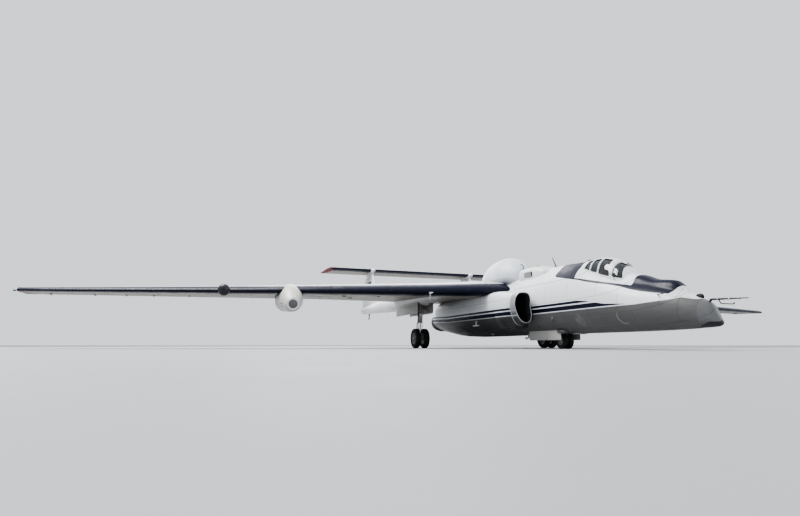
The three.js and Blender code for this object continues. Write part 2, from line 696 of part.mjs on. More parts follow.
function finLoft() {
  const rings = FIN_ROWS.map(([z, leading, trailing, thickness]) =>
    aerofoil(thickness, 0).map(([s, h]) => {
      const chord = trailing - leading;
      return [BOOM_X + h * chord, leading + s * chord, z];
    })
  );
  return loft(rings);
}

function tailLoft(grow) {
  const left = TAIL_ROWS.slice(1).map(([x, ...rest]) => [-x, ...rest.slice(0, -1), -rest.at(-1)]);
  return wingLoft([...left, ...TAIL_ROWS], 0, grow);
}

function makeTail() {
  const tail = splitAtHinge(tailLoft(0), ELEVATOR);
  addPiece('tailplane', tail.fixed, WING_GREY);
  addPiece('elevator', tail.moving, WING_GREY);
  const overRudder = block(BOOM_X - 400, BOOM_X + 400, ELEVATOR.from[1] - 260, 23000, 2100, 2600);
  const fin = splitAtHinge(finLoft().subtract(boomBody(GAP)).subtract(overRudder), RUDDER);
  const bullet = bodyLoft(BODY_COLUMNS, BULLET_ROWS, 14, {
    x: BOOM_X,
    startTip: [BOOM_X, 19290, 2400],
    endTip: [BOOM_X, 20500, 2400],
  });
  const fixed = fin.fixed.add(bullet).subtract(tailLoft(GAP));
  addPiece('fin_port', fixed, WHITE);
  addPiece('fin_starboard', mirrored(fixed), WHITE);
  addPiece('rudder_port', fin.moving, WHITE);
  addPiece('rudder_starboard', mirrored(fin.moving), WHITE);
}

// Landing gear
function wheelHeight({ radius, sides }) {
  return -BOOM_HEIGHT + radius * Math.cos(Math.PI / sides);
}

// Two tyres on one hub. places gives the x of each wheel by the word for its side.
function wheelPieces(name, wheel, y, places) {
  const { radius, width, rim, axle, sides } = wheel;
  const z = wheelHeight(wheel);
  const half = width / 2;
  const tyreProfile = [
    [rim, -half * 0.8], [radius * 0.86, -half], [radius, -half * 0.68],
    [radius, half * 0.68], [radius * 0.86, half], [rim, half * 0.8],
  ];
  const rimRadius = rim - GAP;
  const rimProfile = [
    [0, -half * 0.3], [rimRadius * 0.78, -half * 0.3], [rimRadius, -half * 0.8],
    [rimRadius, half * 0.8], [rimRadius * 0.78, half * 0.3], [0, half * 0.3],
  ];
  for (const [place, x] of Object.entries(places)) {
    addPiece(`${name}_tyre_${place}`, wheelSolid(tyreProfile, sides, x, y, z), TYRE);
  }
  const centres = Object.values(places);
  const rims = centres.map((x) => wheelSolid(rimProfile, sides, x, y, z));
  const shaft = bar([centres[0], y, z], [centres[1], y, z], axle, PIN_SIDES);
  addPiece(`${name}_hub`, joined([...rims, shaft]), METAL);
}

function axleBoss(x, y, z, outer, axle, half) {
  return {
    body: bar([x - half, y, z], [x + half, y, z], outer, 16),
    bore: socket([x - half - 50, y, z], [x + half + 50, y, z], axle),
  };
}

function makeMainGear(side, x) {
  const { y, knee, kneeOffset } = MAIN_GEAR;
  const { roof } = MAIN_BAY;
  const axleZ = wheelHeight(MAIN_WHEEL);
  const boss = axleBoss(x, y, axleZ, 105, MAIN_WHEEL.axle, 80);
  const pieces = [
    block(x - 150, x + 150, y - 130, y + 130, roof - 90, roof - GAP),
    bar([x, y, roof - 60], [x, y, -1150], 105, 14),
    bar([x, y, -1100], [x, y, axleZ], 70, 14),
    bar([x, y + 60, -480], [x, y + 900, roof - 60], 45, 8),
    bar([x, y + 90, -1080], [x, y + kneeOffset, knee], 28, 6),
    bar([x, y + 60, axleZ + 90], [x, y + kneeOffset, knee], 28, 6),
    block(x - 90, x + 90, y + 840, y + 960, roof - 90, roof - GAP),
    boss.body,
  ];
  addPiece(`main_leg_${side}`, joined(pieces).subtract(boss.bore), METAL);
  const out = Math.sign(x) * MAIN_WHEEL.track;
  wheelPieces(`main_${side}`, MAIN_WHEEL, y, { inner: x - out, outer: x + out });
}

function makeMainDoors(side, x) {
  const { half, front, back } = MAIN_BAY;
  const boom = x > 0 ? boomBody(GAP) : mirrored(boomBody(GAP));
  const out = Math.sign(x);
  for (const [place, sign] of Object.entries({ inner: -out, outer: out })) {
    const near = x + sign * (half + 6);
    const far = near + sign * 18;
    const plate = block(Math.min(near, far), Math.max(near, far), front + 20, back - 20, -760, -150);
    addPiece(`main_door_${side}_${place}`, plate.subtract(boom), WHITE);
  }
}

function makeNoseGear() {
  const { y, trail, split, pin } = NOSE_GEAR;
  const { half, front, back, roof } = NOSE_BAY;
  const axleZ = wheelHeight(NOSE_WHEEL);
  const upper = [
    block(-120, 120, y - 110, y + 110, roof - 90, roof - GAP),
    bar([0, y, roof - 60], [0, y, split + 6], 75, 14),
    bar([0, y + 50, split + 60], [0, y + 760, roof - 60], 34, 8),
    block(-70, 70, y + 700, y + 820, roof - 90, roof - GAP),
  ];
  const hole = socket([0, y, split - 60], [0, y, split + 200 + PIN_GAP], pin);
  addPiece('nose_leg', joined(upper).subtract(hole), METAL);
  const boss = axleBoss(0, y + trail, axleZ, 60, NOSE_WHEEL.axle, 26);
  const lower = [
    bar([0, y, split - 60], [0, y, split + 200], pin, PIN_SIDES),
    bar([0, y, split - 8], [0, y, -1655], 60, 14),
    bar([0, y, -1640], [0, y + trail, axleZ], 26, 8),
    boss.body,
  ];
  addPiece('nose_fork', joined(lower).subtract(boss.bore), METAL);
  wheelPieces('nose', NOSE_WHEEL, y + trail, { port: NOSE_WHEEL.track, starboard: -NOSE_WHEEL.track });
  for (const [side, sign] of Object.entries({ port: 1, starboard: -1 })) {
    const near = sign * (half + 8);
    const far = near + sign * 16;
    const plate = block(Math.min(near, far), Math.max(near, far), front + 20, back - 20, -1960, -1300);
    addPiece(`nose_door_${side}`, plate.subtract(noseBody(GAP)), WHITE);
  }
}

makeForwardFuselage();
makeCanopy();
makeCockpitFittings();
makeNoseProbe();
makeEngineBody();
makeDorsalPieces(wingLoft(WING_INNER_ROWS, WING_CAMBER, GAP));
makeNozzles();
makeWings();
makePods();
makeBooms();
makeTail();
for (const [side, x] of Object.entries({ port: BOOM_X, starboard: -BOOM_X })) {
  makeMainGear(side, x);
  makeMainDoors(side, x);
}
makeNoseGear();

export default aircraft;
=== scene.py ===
"""High-altitude research aircraft: the finish and the fine shapes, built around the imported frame.

Tables and places are in metres in the aircraft's own datum: X to port, Y aft from the nose tip, Z up from
the axis of the tail booms. DATUM is that datum's place in the shared frame.
"""
import itertools
import math

import bpy
import numpy as np
from mathutils import Matrix, Vector
from mathutils.bvhtree import BVHTree


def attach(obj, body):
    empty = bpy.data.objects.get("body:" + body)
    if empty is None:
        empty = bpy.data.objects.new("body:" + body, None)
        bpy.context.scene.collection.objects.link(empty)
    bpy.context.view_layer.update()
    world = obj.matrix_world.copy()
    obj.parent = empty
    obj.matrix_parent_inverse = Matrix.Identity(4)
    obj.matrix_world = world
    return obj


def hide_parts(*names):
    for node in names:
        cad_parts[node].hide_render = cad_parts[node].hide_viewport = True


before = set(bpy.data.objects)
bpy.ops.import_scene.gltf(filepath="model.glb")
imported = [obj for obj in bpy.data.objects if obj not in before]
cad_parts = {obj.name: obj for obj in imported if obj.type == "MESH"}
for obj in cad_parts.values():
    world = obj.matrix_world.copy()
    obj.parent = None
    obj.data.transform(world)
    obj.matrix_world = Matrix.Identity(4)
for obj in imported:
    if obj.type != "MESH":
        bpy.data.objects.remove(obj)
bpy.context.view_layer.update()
DATUM = Vector((0.0, -11.065, 2.260))
FLOOR = -DATUM.z
SIDES = {"port": 1, "starboard": -1}
PORT, AFT, AHEAD, UP, DOWN = (1, 0, 0), (0, 1, 0), (0, -1, 0), (0, 0, 1), (0, 0, -1)
BOOM_X = 3.325
POD_X = 9.15
PROBE_X = 11.6


# Curves and meshes

def smooth_column(at, xs, ys):
    """A table's column at any place: a cubic that doesn't overshoot."""
    xs, ys = np.asarray(xs, float), np.asarray(ys, float)
    steps = np.diff(xs)
    slopes = np.diff(ys) / steps
    ends = np.zeros(len(xs))
    ends[0], ends[-1] = slopes[0], slopes[-1]
    same = slopes[:-1] * slopes[1:] > 0
    inner = np.zeros(len(slopes) - 1)
    inner[same] = 2 * slopes[:-1][same] * slopes[1:][same] / (slopes[:-1][same] + slopes[1:][same])
    ends[1:-1] = inner
    k = np.clip(np.searchsorted(xs, at, side="right") - 1, 0, len(steps) - 1)
    t = (at - xs[k]) / steps[k]
    step = steps[k]
    a = (1 + 2 * t) * (1 - t) ** 2 * ys[k] + t * (1 - t) ** 2 * step * ends[k]
    b = t * t * (3 - 2 * t) * ys[k + 1] + t * t * (t - 1) * step * ends[k + 1]
    return a + b


# How Body looks for its skin: from how far out, how often it halves the way, and its least half size
FARTHEST = 4.0
HALVINGS = 34
THINNEST = 1e-4


class Body:
    """A tapering body from a table of sections: y, height of the widest line, half width, top, bottom,
    and how square it is above and below that line, where it isn't a plain oval (2)."""

    def __init__(self, rows, x=0.0, round_nose=False, grow=0.0):
        self.rows = np.array([(*row, 2, 2)[:7] for row in rows], float)
        self.rows[:, 2] += grow
        self.rows[:, 3] += grow
        self.rows[:, 4] -= grow
        self.x = x
        self.round_nose = round_nose

    def section(self, y):
        ys = self.rows[:, 0]
        if self.round_nose:
            ys, y = np.sqrt(ys), np.sqrt(np.maximum(y, 0))
        return [smooth_column(y, ys, self.rows[:, k]) for k in range(1, 7)]

    def middle(self, y):
        return self.section(y)[0]

    def reach(self, y, angle, centre):
        """How far the skin is from the point (x, centre) in that direction, seen along Y, for arrays."""
        wide, half, top, bottom, above, below = self.section(y)
        inside = (y >= self.rows[0, 0]) & (y <= self.rows[-1, 0])
        near = np.zeros(np.broadcast(y, angle).shape)
        far = near + FARTHEST
        cos, sin = np.cos(angle), np.sin(angle)
        for _ in range(HALVINGS):
            middle = (near + far) / 2
            x = np.abs(middle * cos)
            z = centre + middle * sin - wide
            upper = z > 0
            height = np.where(upper, top - wide, wide - bottom)
            power = np.where(upper, above, below)
            level = (x / np.maximum(half, THINNEST)) ** power
            level = level + (np.abs(z) / np.maximum(height, THINNEST)) ** power
            near = np.where(level < 1, middle, near)
            far = np.where(level < 1, far, middle)
        return np.where(inside, near, 0.0)


def blended_skin(bodies, centre, ys, count, fillet=0.04):
    """Rings of points on the smooth union of bodies, seen from a centre line that lies inside them:
    its height, or a function of y that gives it."""
    y = np.array(ys, float)[:, None]
    angle = ((np.arange(count) + 0.5) / count * 2 * math.pi)[None, :]
    middle = centre(y) if callable(centre) else centre + 0 * y
    reaches = [body.reach(y, angle, middle) for body in bodies]
    greatest = np.max(reaches, axis=0)
    total = sum(np.exp((r - greatest) / fillet) for r in reaches)
    # a body alone keeps its own size: only the overlap of two is filled
    second = np.sort(np.array(reaches), axis=0)[-2] if len(reaches) > 1 else greatest - 1
    blend = np.where(second > greatest - 6 * fillet, fillet * np.log(total), 0)
    radius = greatest + blend
    x = bodies[0].x + radius * np.cos(angle)
    z = middle + radius * np.sin(angle)
    return [[(x[i, j], float(ys[i]), z[i, j]) for j in range(count)] for i in range(len(ys))]


def circle(count, start=0.0):
    """The cosine and sine of angles evenly round a circle."""
    angles = [start + 2 * math.pi * k / count for k in range(count)]
    return [(math.cos(a), math.sin(a)) for a in angles]


def mesh_object(name, points, faces, look, sharp=35):
    """A closed mesh in the aircraft's frame, with its faces turned out, and one look, named in LOOKS."""
    mesh = bpy.data.meshes.new(name)
    mesh.from_pydata([tuple(Vector(p) + DATUM) for p in points], [], outward(points, faces))
    mesh.validate()
    mesh.materials.append(LOOKS[look])
    obj = bpy.data.objects.new(name, mesh)
    bpy.context.scene.collection.objects.link(obj)
    shade(obj, sharp)
    return obj


def shade(obj, sharp=35):
    obj.data.shade_smooth()
    obj.data.set_sharp_from_angle(angle=math.radians(sharp))


def outward(points, faces):
    """The faces, turned over if the closed mesh is inside out."""
    volume = 0.0
    for face in faces:
        a = Vector(points[face[0]])
        for k in range(1, len(face) - 1):
            volume += a.dot(Vector(points[face[k]]).cross(Vector(points[face[k + 1]])))
    return faces if volume > 0 else [face[::-1] for face in faces]


def between_rings(count, size, looped=False):
    """The four-sided faces that join rings of points, each to the next."""
    faces = []
    for r in range(count if looped else count - 1):
        near, far = r * size, (r + 1) % count * size
        faces += [(near + i, near + (i + 1) % size, far + (i + 1) % size, far + i) for i in range(size)]
    return faces


def loft(name, rings, look, tips=(None, None), sharp=35):
    """Skins rings of points. The ends close on a tip, or on the ring's own middle."""
    size, last = len(rings[0]), len(rings) - 1
    points = [p for ring in rings for p in ring]
    faces = between_rings(len(rings), size)
    for ring, tip in ((0, tips[0]), (last, tips[1])):
        points.append(tip or tuple(sum(p[k] for p in rings[ring]) / size for k in range(3)))
        hub, start = len(points) - 1, ring * size
        for i in range(size):
            a, b = start + i, start + (i + 1) % size
            faces.append((b, a, hub) if ring == 0 else (a, b, hub))
    return mesh_object(name, points, faces, look, sharp)


def looped_loft(name, rings, look, sharp=35):
    """Skins rings of points into a ring-shaped body, the last joined to the first."""
    points = [p for ring in rings for p in ring]
    return mesh_object(name, points, between_rings(len(rings), len(rings[0]), True), look, sharp)


def extruded(name, near, far, look):
    """A body between two like outlines in space."""
    size = len(near)
    faces = [tuple(range(size))[::-1], tuple(range(size, 2 * size))] + between_rings(2, size)
    return mesh_object(name, near + far, faces, look)


def frame_of(direction):
    """Two unit vectors across a direction."""
    along = Vector(direction).normalized()
    side = along.orthogonal().normalized()
    if abs(along.z) < 0.9:
        side = along.cross(Vector(UP)).normalized()
    return side, along.cross(side).normalized()


def tube(name, path, radii, look, sides=20):
    """A round bar or a bent pipe along a path, with one radius or one for each point."""
    path = [Vector(p) for p in path]
    if not hasattr(radii, "__len__"):
        radii = [radii] * len(path)
    rings = []
    turns = circle(sides, math.pi / sides)
    side, up = frame_of(path[1] - path[0])
    for k, point in enumerate(path):
        ahead = (path[min(k + 1, len(path) - 1)] - path[max(k - 1, 0)]).normalized()
        side = (side - ahead * side.dot(ahead)).normalized()
        up = ahead.cross(side)
        rings.append([tuple(point + (side * c + up * s) * radii[k]) for c, s in turns])
    return loft(name, rings, look)


def lathe(name, profile, origin, axis, look, sides=48):
    """Turns a profile of (distance along the axis, radius) round the axis from an origin."""
    side, up = frame_of(axis)
    along = Vector(axis).normalized()
    rings = []
    for distance, radius in profile:
        centre = Vector(origin) + along * distance
        reach = max(radius, THINNEST)
        rings.append([tuple(centre + (side * c + up * s) * reach) for c, s in circle(sides)])
    return loft(name, rings, look)


def pin(name, place, half, radius, look, sides=24):
    """A plain round pin along X with its middle at a place."""
    return lathe(name, [(-half, 0), (-half, radius), (half, radius), (half, 0)], place, PORT, look, sides)


def box(name, corner, opposite, look, bevel=0.0):
    points = [(x, y, z) for x, y, z in itertools.product(*(sorted(pair) for pair in zip(corner, opposite)))]
    faces = [(0, 1, 3, 2), (4, 6, 7, 5), (0, 4, 5, 1), (2, 3, 7, 6), (0, 2, 6, 4), (1, 5, 7, 3)]
    return bevelled(mesh_object(name, points, faces, look), bevel)


def prism(name, outline, start, end, look, bevel=0.0, axis=0):
    """An outline of two coordinates, carried from start to end along the third axis."""
    rings = [[(*p[:axis], c, *p[axis:]) for p in outline] for c in sorted((start, end))]
    return bevelled(extruded(name, *rings, look), bevel)


def applied(obj):
    """Bakes an object's modifiers into its mesh."""
    bpy.context.view_layer.update()
    mesh = bpy.data.meshes.new_from_object(obj.evaluated_get(bpy.context.evaluated_depsgraph_get()))
    obj.modifiers.clear()
    old, obj.data = obj.data, mesh
    bpy.data.meshes.remove(old)
    return obj


def bevelled(obj, width):
    """Rounds an object's edges; a width of 0 leaves them."""
    if not width:
        return obj
    modifier = obj.modifiers.new("edges", "BEVEL")
    modifier.width = width
    modifier.segments = 2
    modifier.limit_method = "ANGLE"
    modifier.angle_limit = math.radians(30)
    applied(obj)
    shade(obj)
    return obj


def combine(obj, others, operation="DIFFERENCE"):
    """Cuts, joins or intersects an object with others, which are used up."""
    for other in others:
        boolean(obj, other, operation)
        discard(other)
    shade(obj)
    return obj


def boolean(obj, other, operation, tries=4, hair=0.0003):
    """One exact boolean. Where faces nearly touch it can leave nothing: then the cutter moves by a hair."""
    whole = obj.data.copy()
    for _ in range(tries):
        modifier = obj.modifiers.new("cut", "BOOLEAN")
        modifier.operation = operation
        modifier.solver = "EXACT"
        modifier.material_mode = "TRANSFER"
        modifier.object = other
        applied(obj)
        if obj.data.polygons:
            break
        obj.data = whole.copy()
        other.data.transform(Matrix.Translation((0, hair, 0)))
    bpy.data.meshes.remove(whole)


def discard(obj):
    mesh = obj.data
    bpy.data.objects.remove(obj)
    bpy.data.meshes.remove(mesh)


def duplicate(obj, name):
    copy = obj.copy()
    copy.data = obj.data.copy()
    copy.name = name
    bpy.context.scene.collection.objects.link(copy)
    return copy


def mirrored(obj, name):
    copy = duplicate(obj, name)
    copy.data.transform(Matrix.Scale(-1, 4, PORT))
    copy.data.flip_normals()
    return copy


def placed(obj, matrix):
    """Moves an object by a matrix that is written in the aircraft's frame."""
    shift = Matrix.Translation(DATUM)
    obj.data.transform(shift @ matrix @ shift.inverted())
    return obj


def merged(name, objects):
    """Joins objects into one, each with its own materials."""
    target = objects[0]
    with bpy.context.temp_override(active_object=target, selected_editable_objects=objects):
        bpy.ops.object.join()
    target.name = name
    return target


def smooth_path(points, steps=6):
    """A Catmull-Rom line through the points."""
    points = [Vector(p) for p in points]
    padded = [2 * points[0] - points[1]] + points + [2 * points[-1] - points[-2]]
    result = []
    for a, b, c, d in zip(padded, padded[1:], padded[2:], padded[3:]):
        for t in (k / steps for k in range(steps)):
            square = (2 * a - 5 * b + 4 * c - d) * t * t
            result.append(0.5 * (2 * b + (c - a) * t + square + (3 * b - a - 3 * c + d) * t ** 3))
    result.append(points[-1])
    return [tuple(p) for p in result]


def bent_tube(name, points, radii, look, sides=20):
    """A pipe along a smooth line through the points."""
    return tube(name, smooth_path(points), radii, look, sides)


def spokes(name, corner, opposite, look, count, place, lean=Matrix()):
    """Like boxes evenly round an axis along Y through a place, each turned by `lean` first."""
    spot = Matrix.Translation(place)
    turns = [Matrix.Rotation(2 * math.pi * k / count, 4, "Y") for k in range(count)]
    return [placed(box(name, corner, opposite, look), spot @ turn @ lean) for turn in turns]


def rounded(outline, radius, steps=6):
    """The outline with its corners turned to arcs."""
    result = []
    size = len(outline)
    for k in range(size):
        corner = Vector(outline[k])
        a, b = Vector(outline[k - 1]) - corner, Vector(outline[(k + 1) % size]) - corner
        reach = min(radius, a.length * 0.45, b.length * 0.45)
        start, end = corner + a.normalized() * reach, corner + b.normalized() * reach
        for t in (s / steps for s in range(steps + 1)):
            result.append(tuple(start * (1 - t) ** 2 + corner * 2 * t * (1 - t) + end * t * t))
    return result


def plate(u0, v0, u1, v1, radius):
    """An oblong outline with rounded corners."""
    return rounded([(u0, v0), (u1, v0), (u1, v1), (u0, v1)], radius)


def piece(obj, body="airframe", nodes=()):
    """Hangs a finished object on its body, in place of the solids it stands for."""
    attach(obj, body)
    if nodes:
        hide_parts(*nodes)
    return obj


# Materials

class Nodes:
    """Writes a material's node tree: each method adds nodes and returns the last one's output."""

    def __init__(self, name):
        self.material = bpy.data.materials.new(name)
        self.material.use_nodes = True
        self.tree = self.material.node_tree
        self.shader = self.tree.nodes["Principled BSDF"]
        where = self.tree.nodes.new("ShaderNodeTexCoord").outputs["Object"]
        self.place = self.vector("SUBTRACT", where, tuple(DATUM))
        split = self.tree.nodes.new("ShaderNodeSeparateXYZ")
        self.link(self.place, split.inputs[0])
        self.x, self.y, self.z = split.outputs
        self.span = self.math("ABSOLUTE", self.x)

    def link(self, source, socket):
        if isinstance(source, bpy.types.NodeSocket):
            self.tree.links.new(source, socket)
        else:
            socket.default_value = source

    def math(self, operation, a, b=0.0):
        node = self.tree.nodes.new("ShaderNodeMath")
        node.operation = operation
        self.link(a, node.inputs[0])
        self.link(b, node.inputs[1])
        return node.outputs[0]

    def plus(self, a, b):
        return self.math("ADD", a, b)

    def minus(self, a, b):
        return self.math("SUBTRACT", a, b)

    def times(self, a, b):
        return self.math("MULTIPLY", a, b)

    def vector(self, operation, a, b):
        node = self.tree.nodes.new("ShaderNodeVectorMath")
        node.operation = operation
        self.link(a, node.inputs[0])
        self.link(b, node.inputs[1])
        return node.outputs[0]

    def line(self, a, slope, base):
        return self.plus(self.times(a, slope), base)

    def above(self, a, b, soft=0.004):
        """1 where a is over b, 0 under it, with an edge that wide between."""
        node = self.tree.nodes.new("ShaderNodeMapRange")
        self.link(self.minus(a, b), node.inputs["Value"])
        node.inputs["From Min"].default_value = -soft / 2
        node.inputs["From Max"].default_value = soft / 2
        return node.outputs[0]

    def between(self, a, low, high, soft=0.004):
        return self.times(self.above(a, low, soft), self.above(high, a, soft))

    def both(self, *masks):
        result = masks[0]
        for mask in masks[1:]:
            result = self.times(result, mask)
        return result

    def either(self, *masks):
        result = masks[0]
        for mask in masks[1:]:
            result = self.math("MAXIMUM", result, mask)
        return result

    def other(self, mask):
        return self.minus(1.0, mask)

    def joined(self, a, b, c):
        node = self.tree.nodes.new("ShaderNodeCombineXYZ")
        for source, socket in zip((a, b, c), node.inputs):
            self.link(source, socket)
        return node.outputs[0]

    def noise(self, scale, detail, stretch=(1, 1, 1)):
        node = self.tree.nodes.new("ShaderNodeTexNoise")
        self.link(self.vector("MULTIPLY", self.place, stretch), node.inputs["Vector"])
        node.inputs["Scale"].default_value = scale
        node.inputs["Detail"].default_value = detail
        node.inputs["Roughness"].default_value = 0.55
        return node.outputs["Fac"]

    def cloud(self, scale, detail=4, stretch=(1, 1, 1), start=0.0, end=1.0):
        """Soft patches between two levels."""
        return self.spread(self.noise(scale, detail, stretch), 0.3, 0.7, start, end)

    def wave(self, a, period):
        """Up and down again between 0 and the period."""
        return self.math("PINGPONG", a, period)

    def spread(self, value, low, high, start=0.0, end=1.0):
        """Maps low to start and high to end, level past both."""
        node = self.tree.nodes.new("ShaderNodeMapRange")
        for source, socket in zip((value, low, high, start, end), list(node.inputs)[:5]):
            self.link(source, socket)
        return node.outputs[0]

    def mix(self, share, a, b):
        """Colour a, with that share of colour b over it."""
        node = self.tree.nodes.new("ShaderNodeMix")
        node.data_type = "RGBA"
        for source, socket in zip((share, a, b), (node.inputs[0], node.inputs[6], node.inputs[7])):
            self.link((*source, 1.0) if isinstance(source, tuple) else source, socket)
        return node.outputs[2]

    def panels(self, u, v, width, height):
        """Seams and plate-to-plate tone of a plated skin, in the plane (u, v)."""
        node = self.tree.nodes.new("ShaderNodeTexBrick")
        node.offset = 0.35
        self.link(self.joined(u, v, 0.0), node.inputs["Vector"])
        node.inputs["Color1"].default_value = (0, 0, 0, 1)
        node.inputs["Color2"].default_value = (1, 1, 1, 1)
        node.inputs["Mortar"].default_value = (0.5, 0.5, 0.5, 1)
        node.inputs["Scale"].default_value = 1.0
        node.inputs["Mortar Size"].default_value = 0.006
        node.inputs["Mortar Smooth"].default_value = 0.3
        node.inputs["Brick Width"].default_value = width
        node.inputs["Row Height"].default_value = height
        return node.outputs["Fac"], node.outputs["Color"]

    def rivets(self, u, v, pitch, row, size=0.007):
        """Rows of flush rivets, a row's rivets that far apart along u, and the rows along v."""
        du = self.wave(u, pitch / 2)
        dv = self.wave(self.plus(v, row * 0.37), row / 2)
        self.vector("LENGTH", self.joined(du, dv, 0.0), (0, 0, 0))
        node = self.tree.nodes[-1]
        return self.spread(node.outputs["Value"], size * 0.6, size, 1.0, 0.0)

    def curve(self, value, points):
        """A line through (value, result) points, level past both ends."""
        values, results = zip(*points)
        low, high, least, most = values[0], values[-1], min(results), max(results)
        node = self.tree.nodes.new("ShaderNodeFloatCurve")
        line = node.mapping.curves[0].points
        spots = [((v - low) / (high - low), (r - least) / (most - least)) for v, r in points]
        for spot in spots[1:-1]:
            line.new(*spot)
        for point, spot in zip(line, spots):
            point.location = spot
            point.handle_type = "VECTOR"
        node.mapping.update()
        self.link(self.spread(value, low, high), node.inputs["Value"])
        return self.line(node.outputs[0], most - least, least)

    def disc(self, centre, radius, axis, soft=0.01):
        """1 inside a round patch seen along an axis, 0 outside it."""
        sockets = {"x": self.span, "y": self.y, "z": self.z}
        across = [sockets[k] for k in "xyz" if k != axis]
        offsets = [self.minus(s, c) for s, c in zip(across, centre)]
        squares = [self.times(o, o) for o in offsets]
        reach = self.math("SQRT", self.plus(*squares))
        return self.above(radius, reach, soft)

    def bump(self, height, distance, strength):
        node = self.tree.nodes.new("ShaderNodeBump")
        node.inputs["Strength"].default_value = strength
        node.inputs["Distance"].default_value = distance
        self.link(height, node.inputs["Height"])
        return node.outputs[0]

    def finish(self, color, rough, metal=0.0, normal=None, **sockets):
        if isinstance(color, tuple):
            color = (*color, 1.0)
        self.link(color, self.shader.inputs["Base Color"])
        self.link(rough, self.shader.inputs["Roughness"])
        self.link(metal, self.shader.inputs["Metallic"])
        if normal:
            self.link(normal, self.shader.inputs["Normal"])
        for name, value in sockets.items():
            self.shader.inputs[name.replace("_", " ")].default_value = value
        return self.material


WHITE = (0.74, 0.76, 0.79)
WHITE_TOP = (0.56, 0.57, 0.59)
NAVY = (0.0035, 0.006, 0.026)
GREY = (0.122, 0.123, 0.124)
CAP_GREY = (0.17, 0.175, 0.18)
COLLAR_GREY = (0.36, 0.37, 0.39)
# the wings' and tailplane's underside: partly their paint, partly painted shade
WARM_GREY = (0.285, 0.262, 0.230)
DARK_RED = (0.11, 0.006, 0.008)
BLACK = (0.012, 0.012, 0.013)
RIVET_PITCH = 0.055


def painted(nodes, color, u, v, plate=(1.25, 0.62), gloss=0.36, dirt=0.35, seams=0.5):
    """Finishes a painted skin: plates, seams, rivets, streaks of dirt along the flow, and a soft gloss."""
    seam, tone = nodes.panels(u, v, *plate)
    long, tall = plate
    rivets = nodes.either(nodes.rivets(u, v, RIVET_PITCH, tall / 2),
                          nodes.rivets(v, u, RIVET_PITCH, long / 2))
    plain = nodes.mix(nodes.spread(tone, 0, 1, 0.0, 0.07), color, (0.0, 0.0, 0.0))
    cloud = nodes.noise(0.9, 4, (1, 0.35, 1))
    streak = nodes.noise(6.0, 4, (1.6, 0.12, 1.6))
    grime = nodes.times(nodes.spread(cloud, 0.45, 0.75), nodes.spread(streak, 0.4, 0.8))
    dirty = nodes.mix(nodes.times(grime, dirt), plain, (0.05, 0.045, 0.04))
    lined = nodes.mix(nodes.times(seam, seams), dirty, (0.02, 0.02, 0.02))
    dotted = nodes.mix(nodes.times(rivets, 0.22), lined, (0.03, 0.03, 0.03))
    height = nodes.minus(nodes.times(nodes.noise(1.3, 2), 0.8), seam)
    height = nodes.minus(height, nodes.times(rivets, 0.5))
    rough = nodes.cloud(3.5, 5, start=gloss - 0.06, end=gloss + 0.12)
    return nodes.finish(dotted, rough, normal=nodes.bump(height, 0.0025, 0.8), Coat_Weight=0.10,
                        Coat_Roughness=0.2, Specular_IOR_Level=0.35)


# Lines along the fuselage's side, as (y, z) points
LOWER_EDGE = [
    (0.0, -1.02), (0.55, -0.99), (0.79, -0.93), (1.04, -0.97), (1.49, -1.00), (1.92, -1.03), (8.0, -1.03),
]
NAVY_EDGE = [
    (0.94, -0.60), (1.09, -0.81), (1.50, -0.74), (1.84, -0.67), (2.20, -0.57), (2.52, -0.46), (2.96, -0.35),
    (3.40, -0.26), (3.78, -0.17), (4.12, -0.07), (4.65, 0.04), (5.07, 0.13), (5.37, 0.19), (5.47, 0.27),
]
BAND_TOP = [
    (1.80, -1.04), (1.95, -1.02), (2.56, -0.96), (2.98, -0.93), (3.25, -0.88), (3.64, -0.80), (4.2, -0.73),
    (5.75, -0.70),
]
SILL_EDGE = [(2.26, -0.45), (4.13, -0.02), (4.4, 0.04)]
# Between which heights the side's two stripes lie
THICK_STRIPE = (-0.995, -0.865)
THIN_STRIPE = (-0.817, -0.740)
# The intakes' mouths: their y at one height, and how far they lean back for each metre down
MOUTH_Y, MOUTH_Z, MOUTH_LEAN = 6.40, -0.19, 0.24
# The panel on the fin: from where to where along it and up it
PANEL_START, PANEL_END = 19.70, 20.72
PANEL_FOOT, PANEL_TOP = 1.41, 1.97


def scaled(color, share):
    return tuple(min(v * share, 1.0) for v in color)


def stripes(nodes, color, drop):
    """The side's two navy stripes with white between, and the grey belly under them."""
    z = nodes.plus(nodes.z, drop)
    under_top = nodes.above(nodes.curve(nodes.y, BAND_TOP), z)
    thick = nodes.both(nodes.between(z, *THICK_STRIPE), under_top)
    thin = nodes.both(nodes.between(z, *THIN_STRIPE), under_top)
    belly = nodes.above(nodes.curve(nodes.y, LOWER_EDGE), z)
    grey = nodes.mix(nodes.cloud(0.55, 5, (1, 0.5, 1)), GREY, scaled(GREY, 1.22))
    return nodes.mix(nodes.either(thick, thin), nodes.mix(belly, color, grey), NAVY)


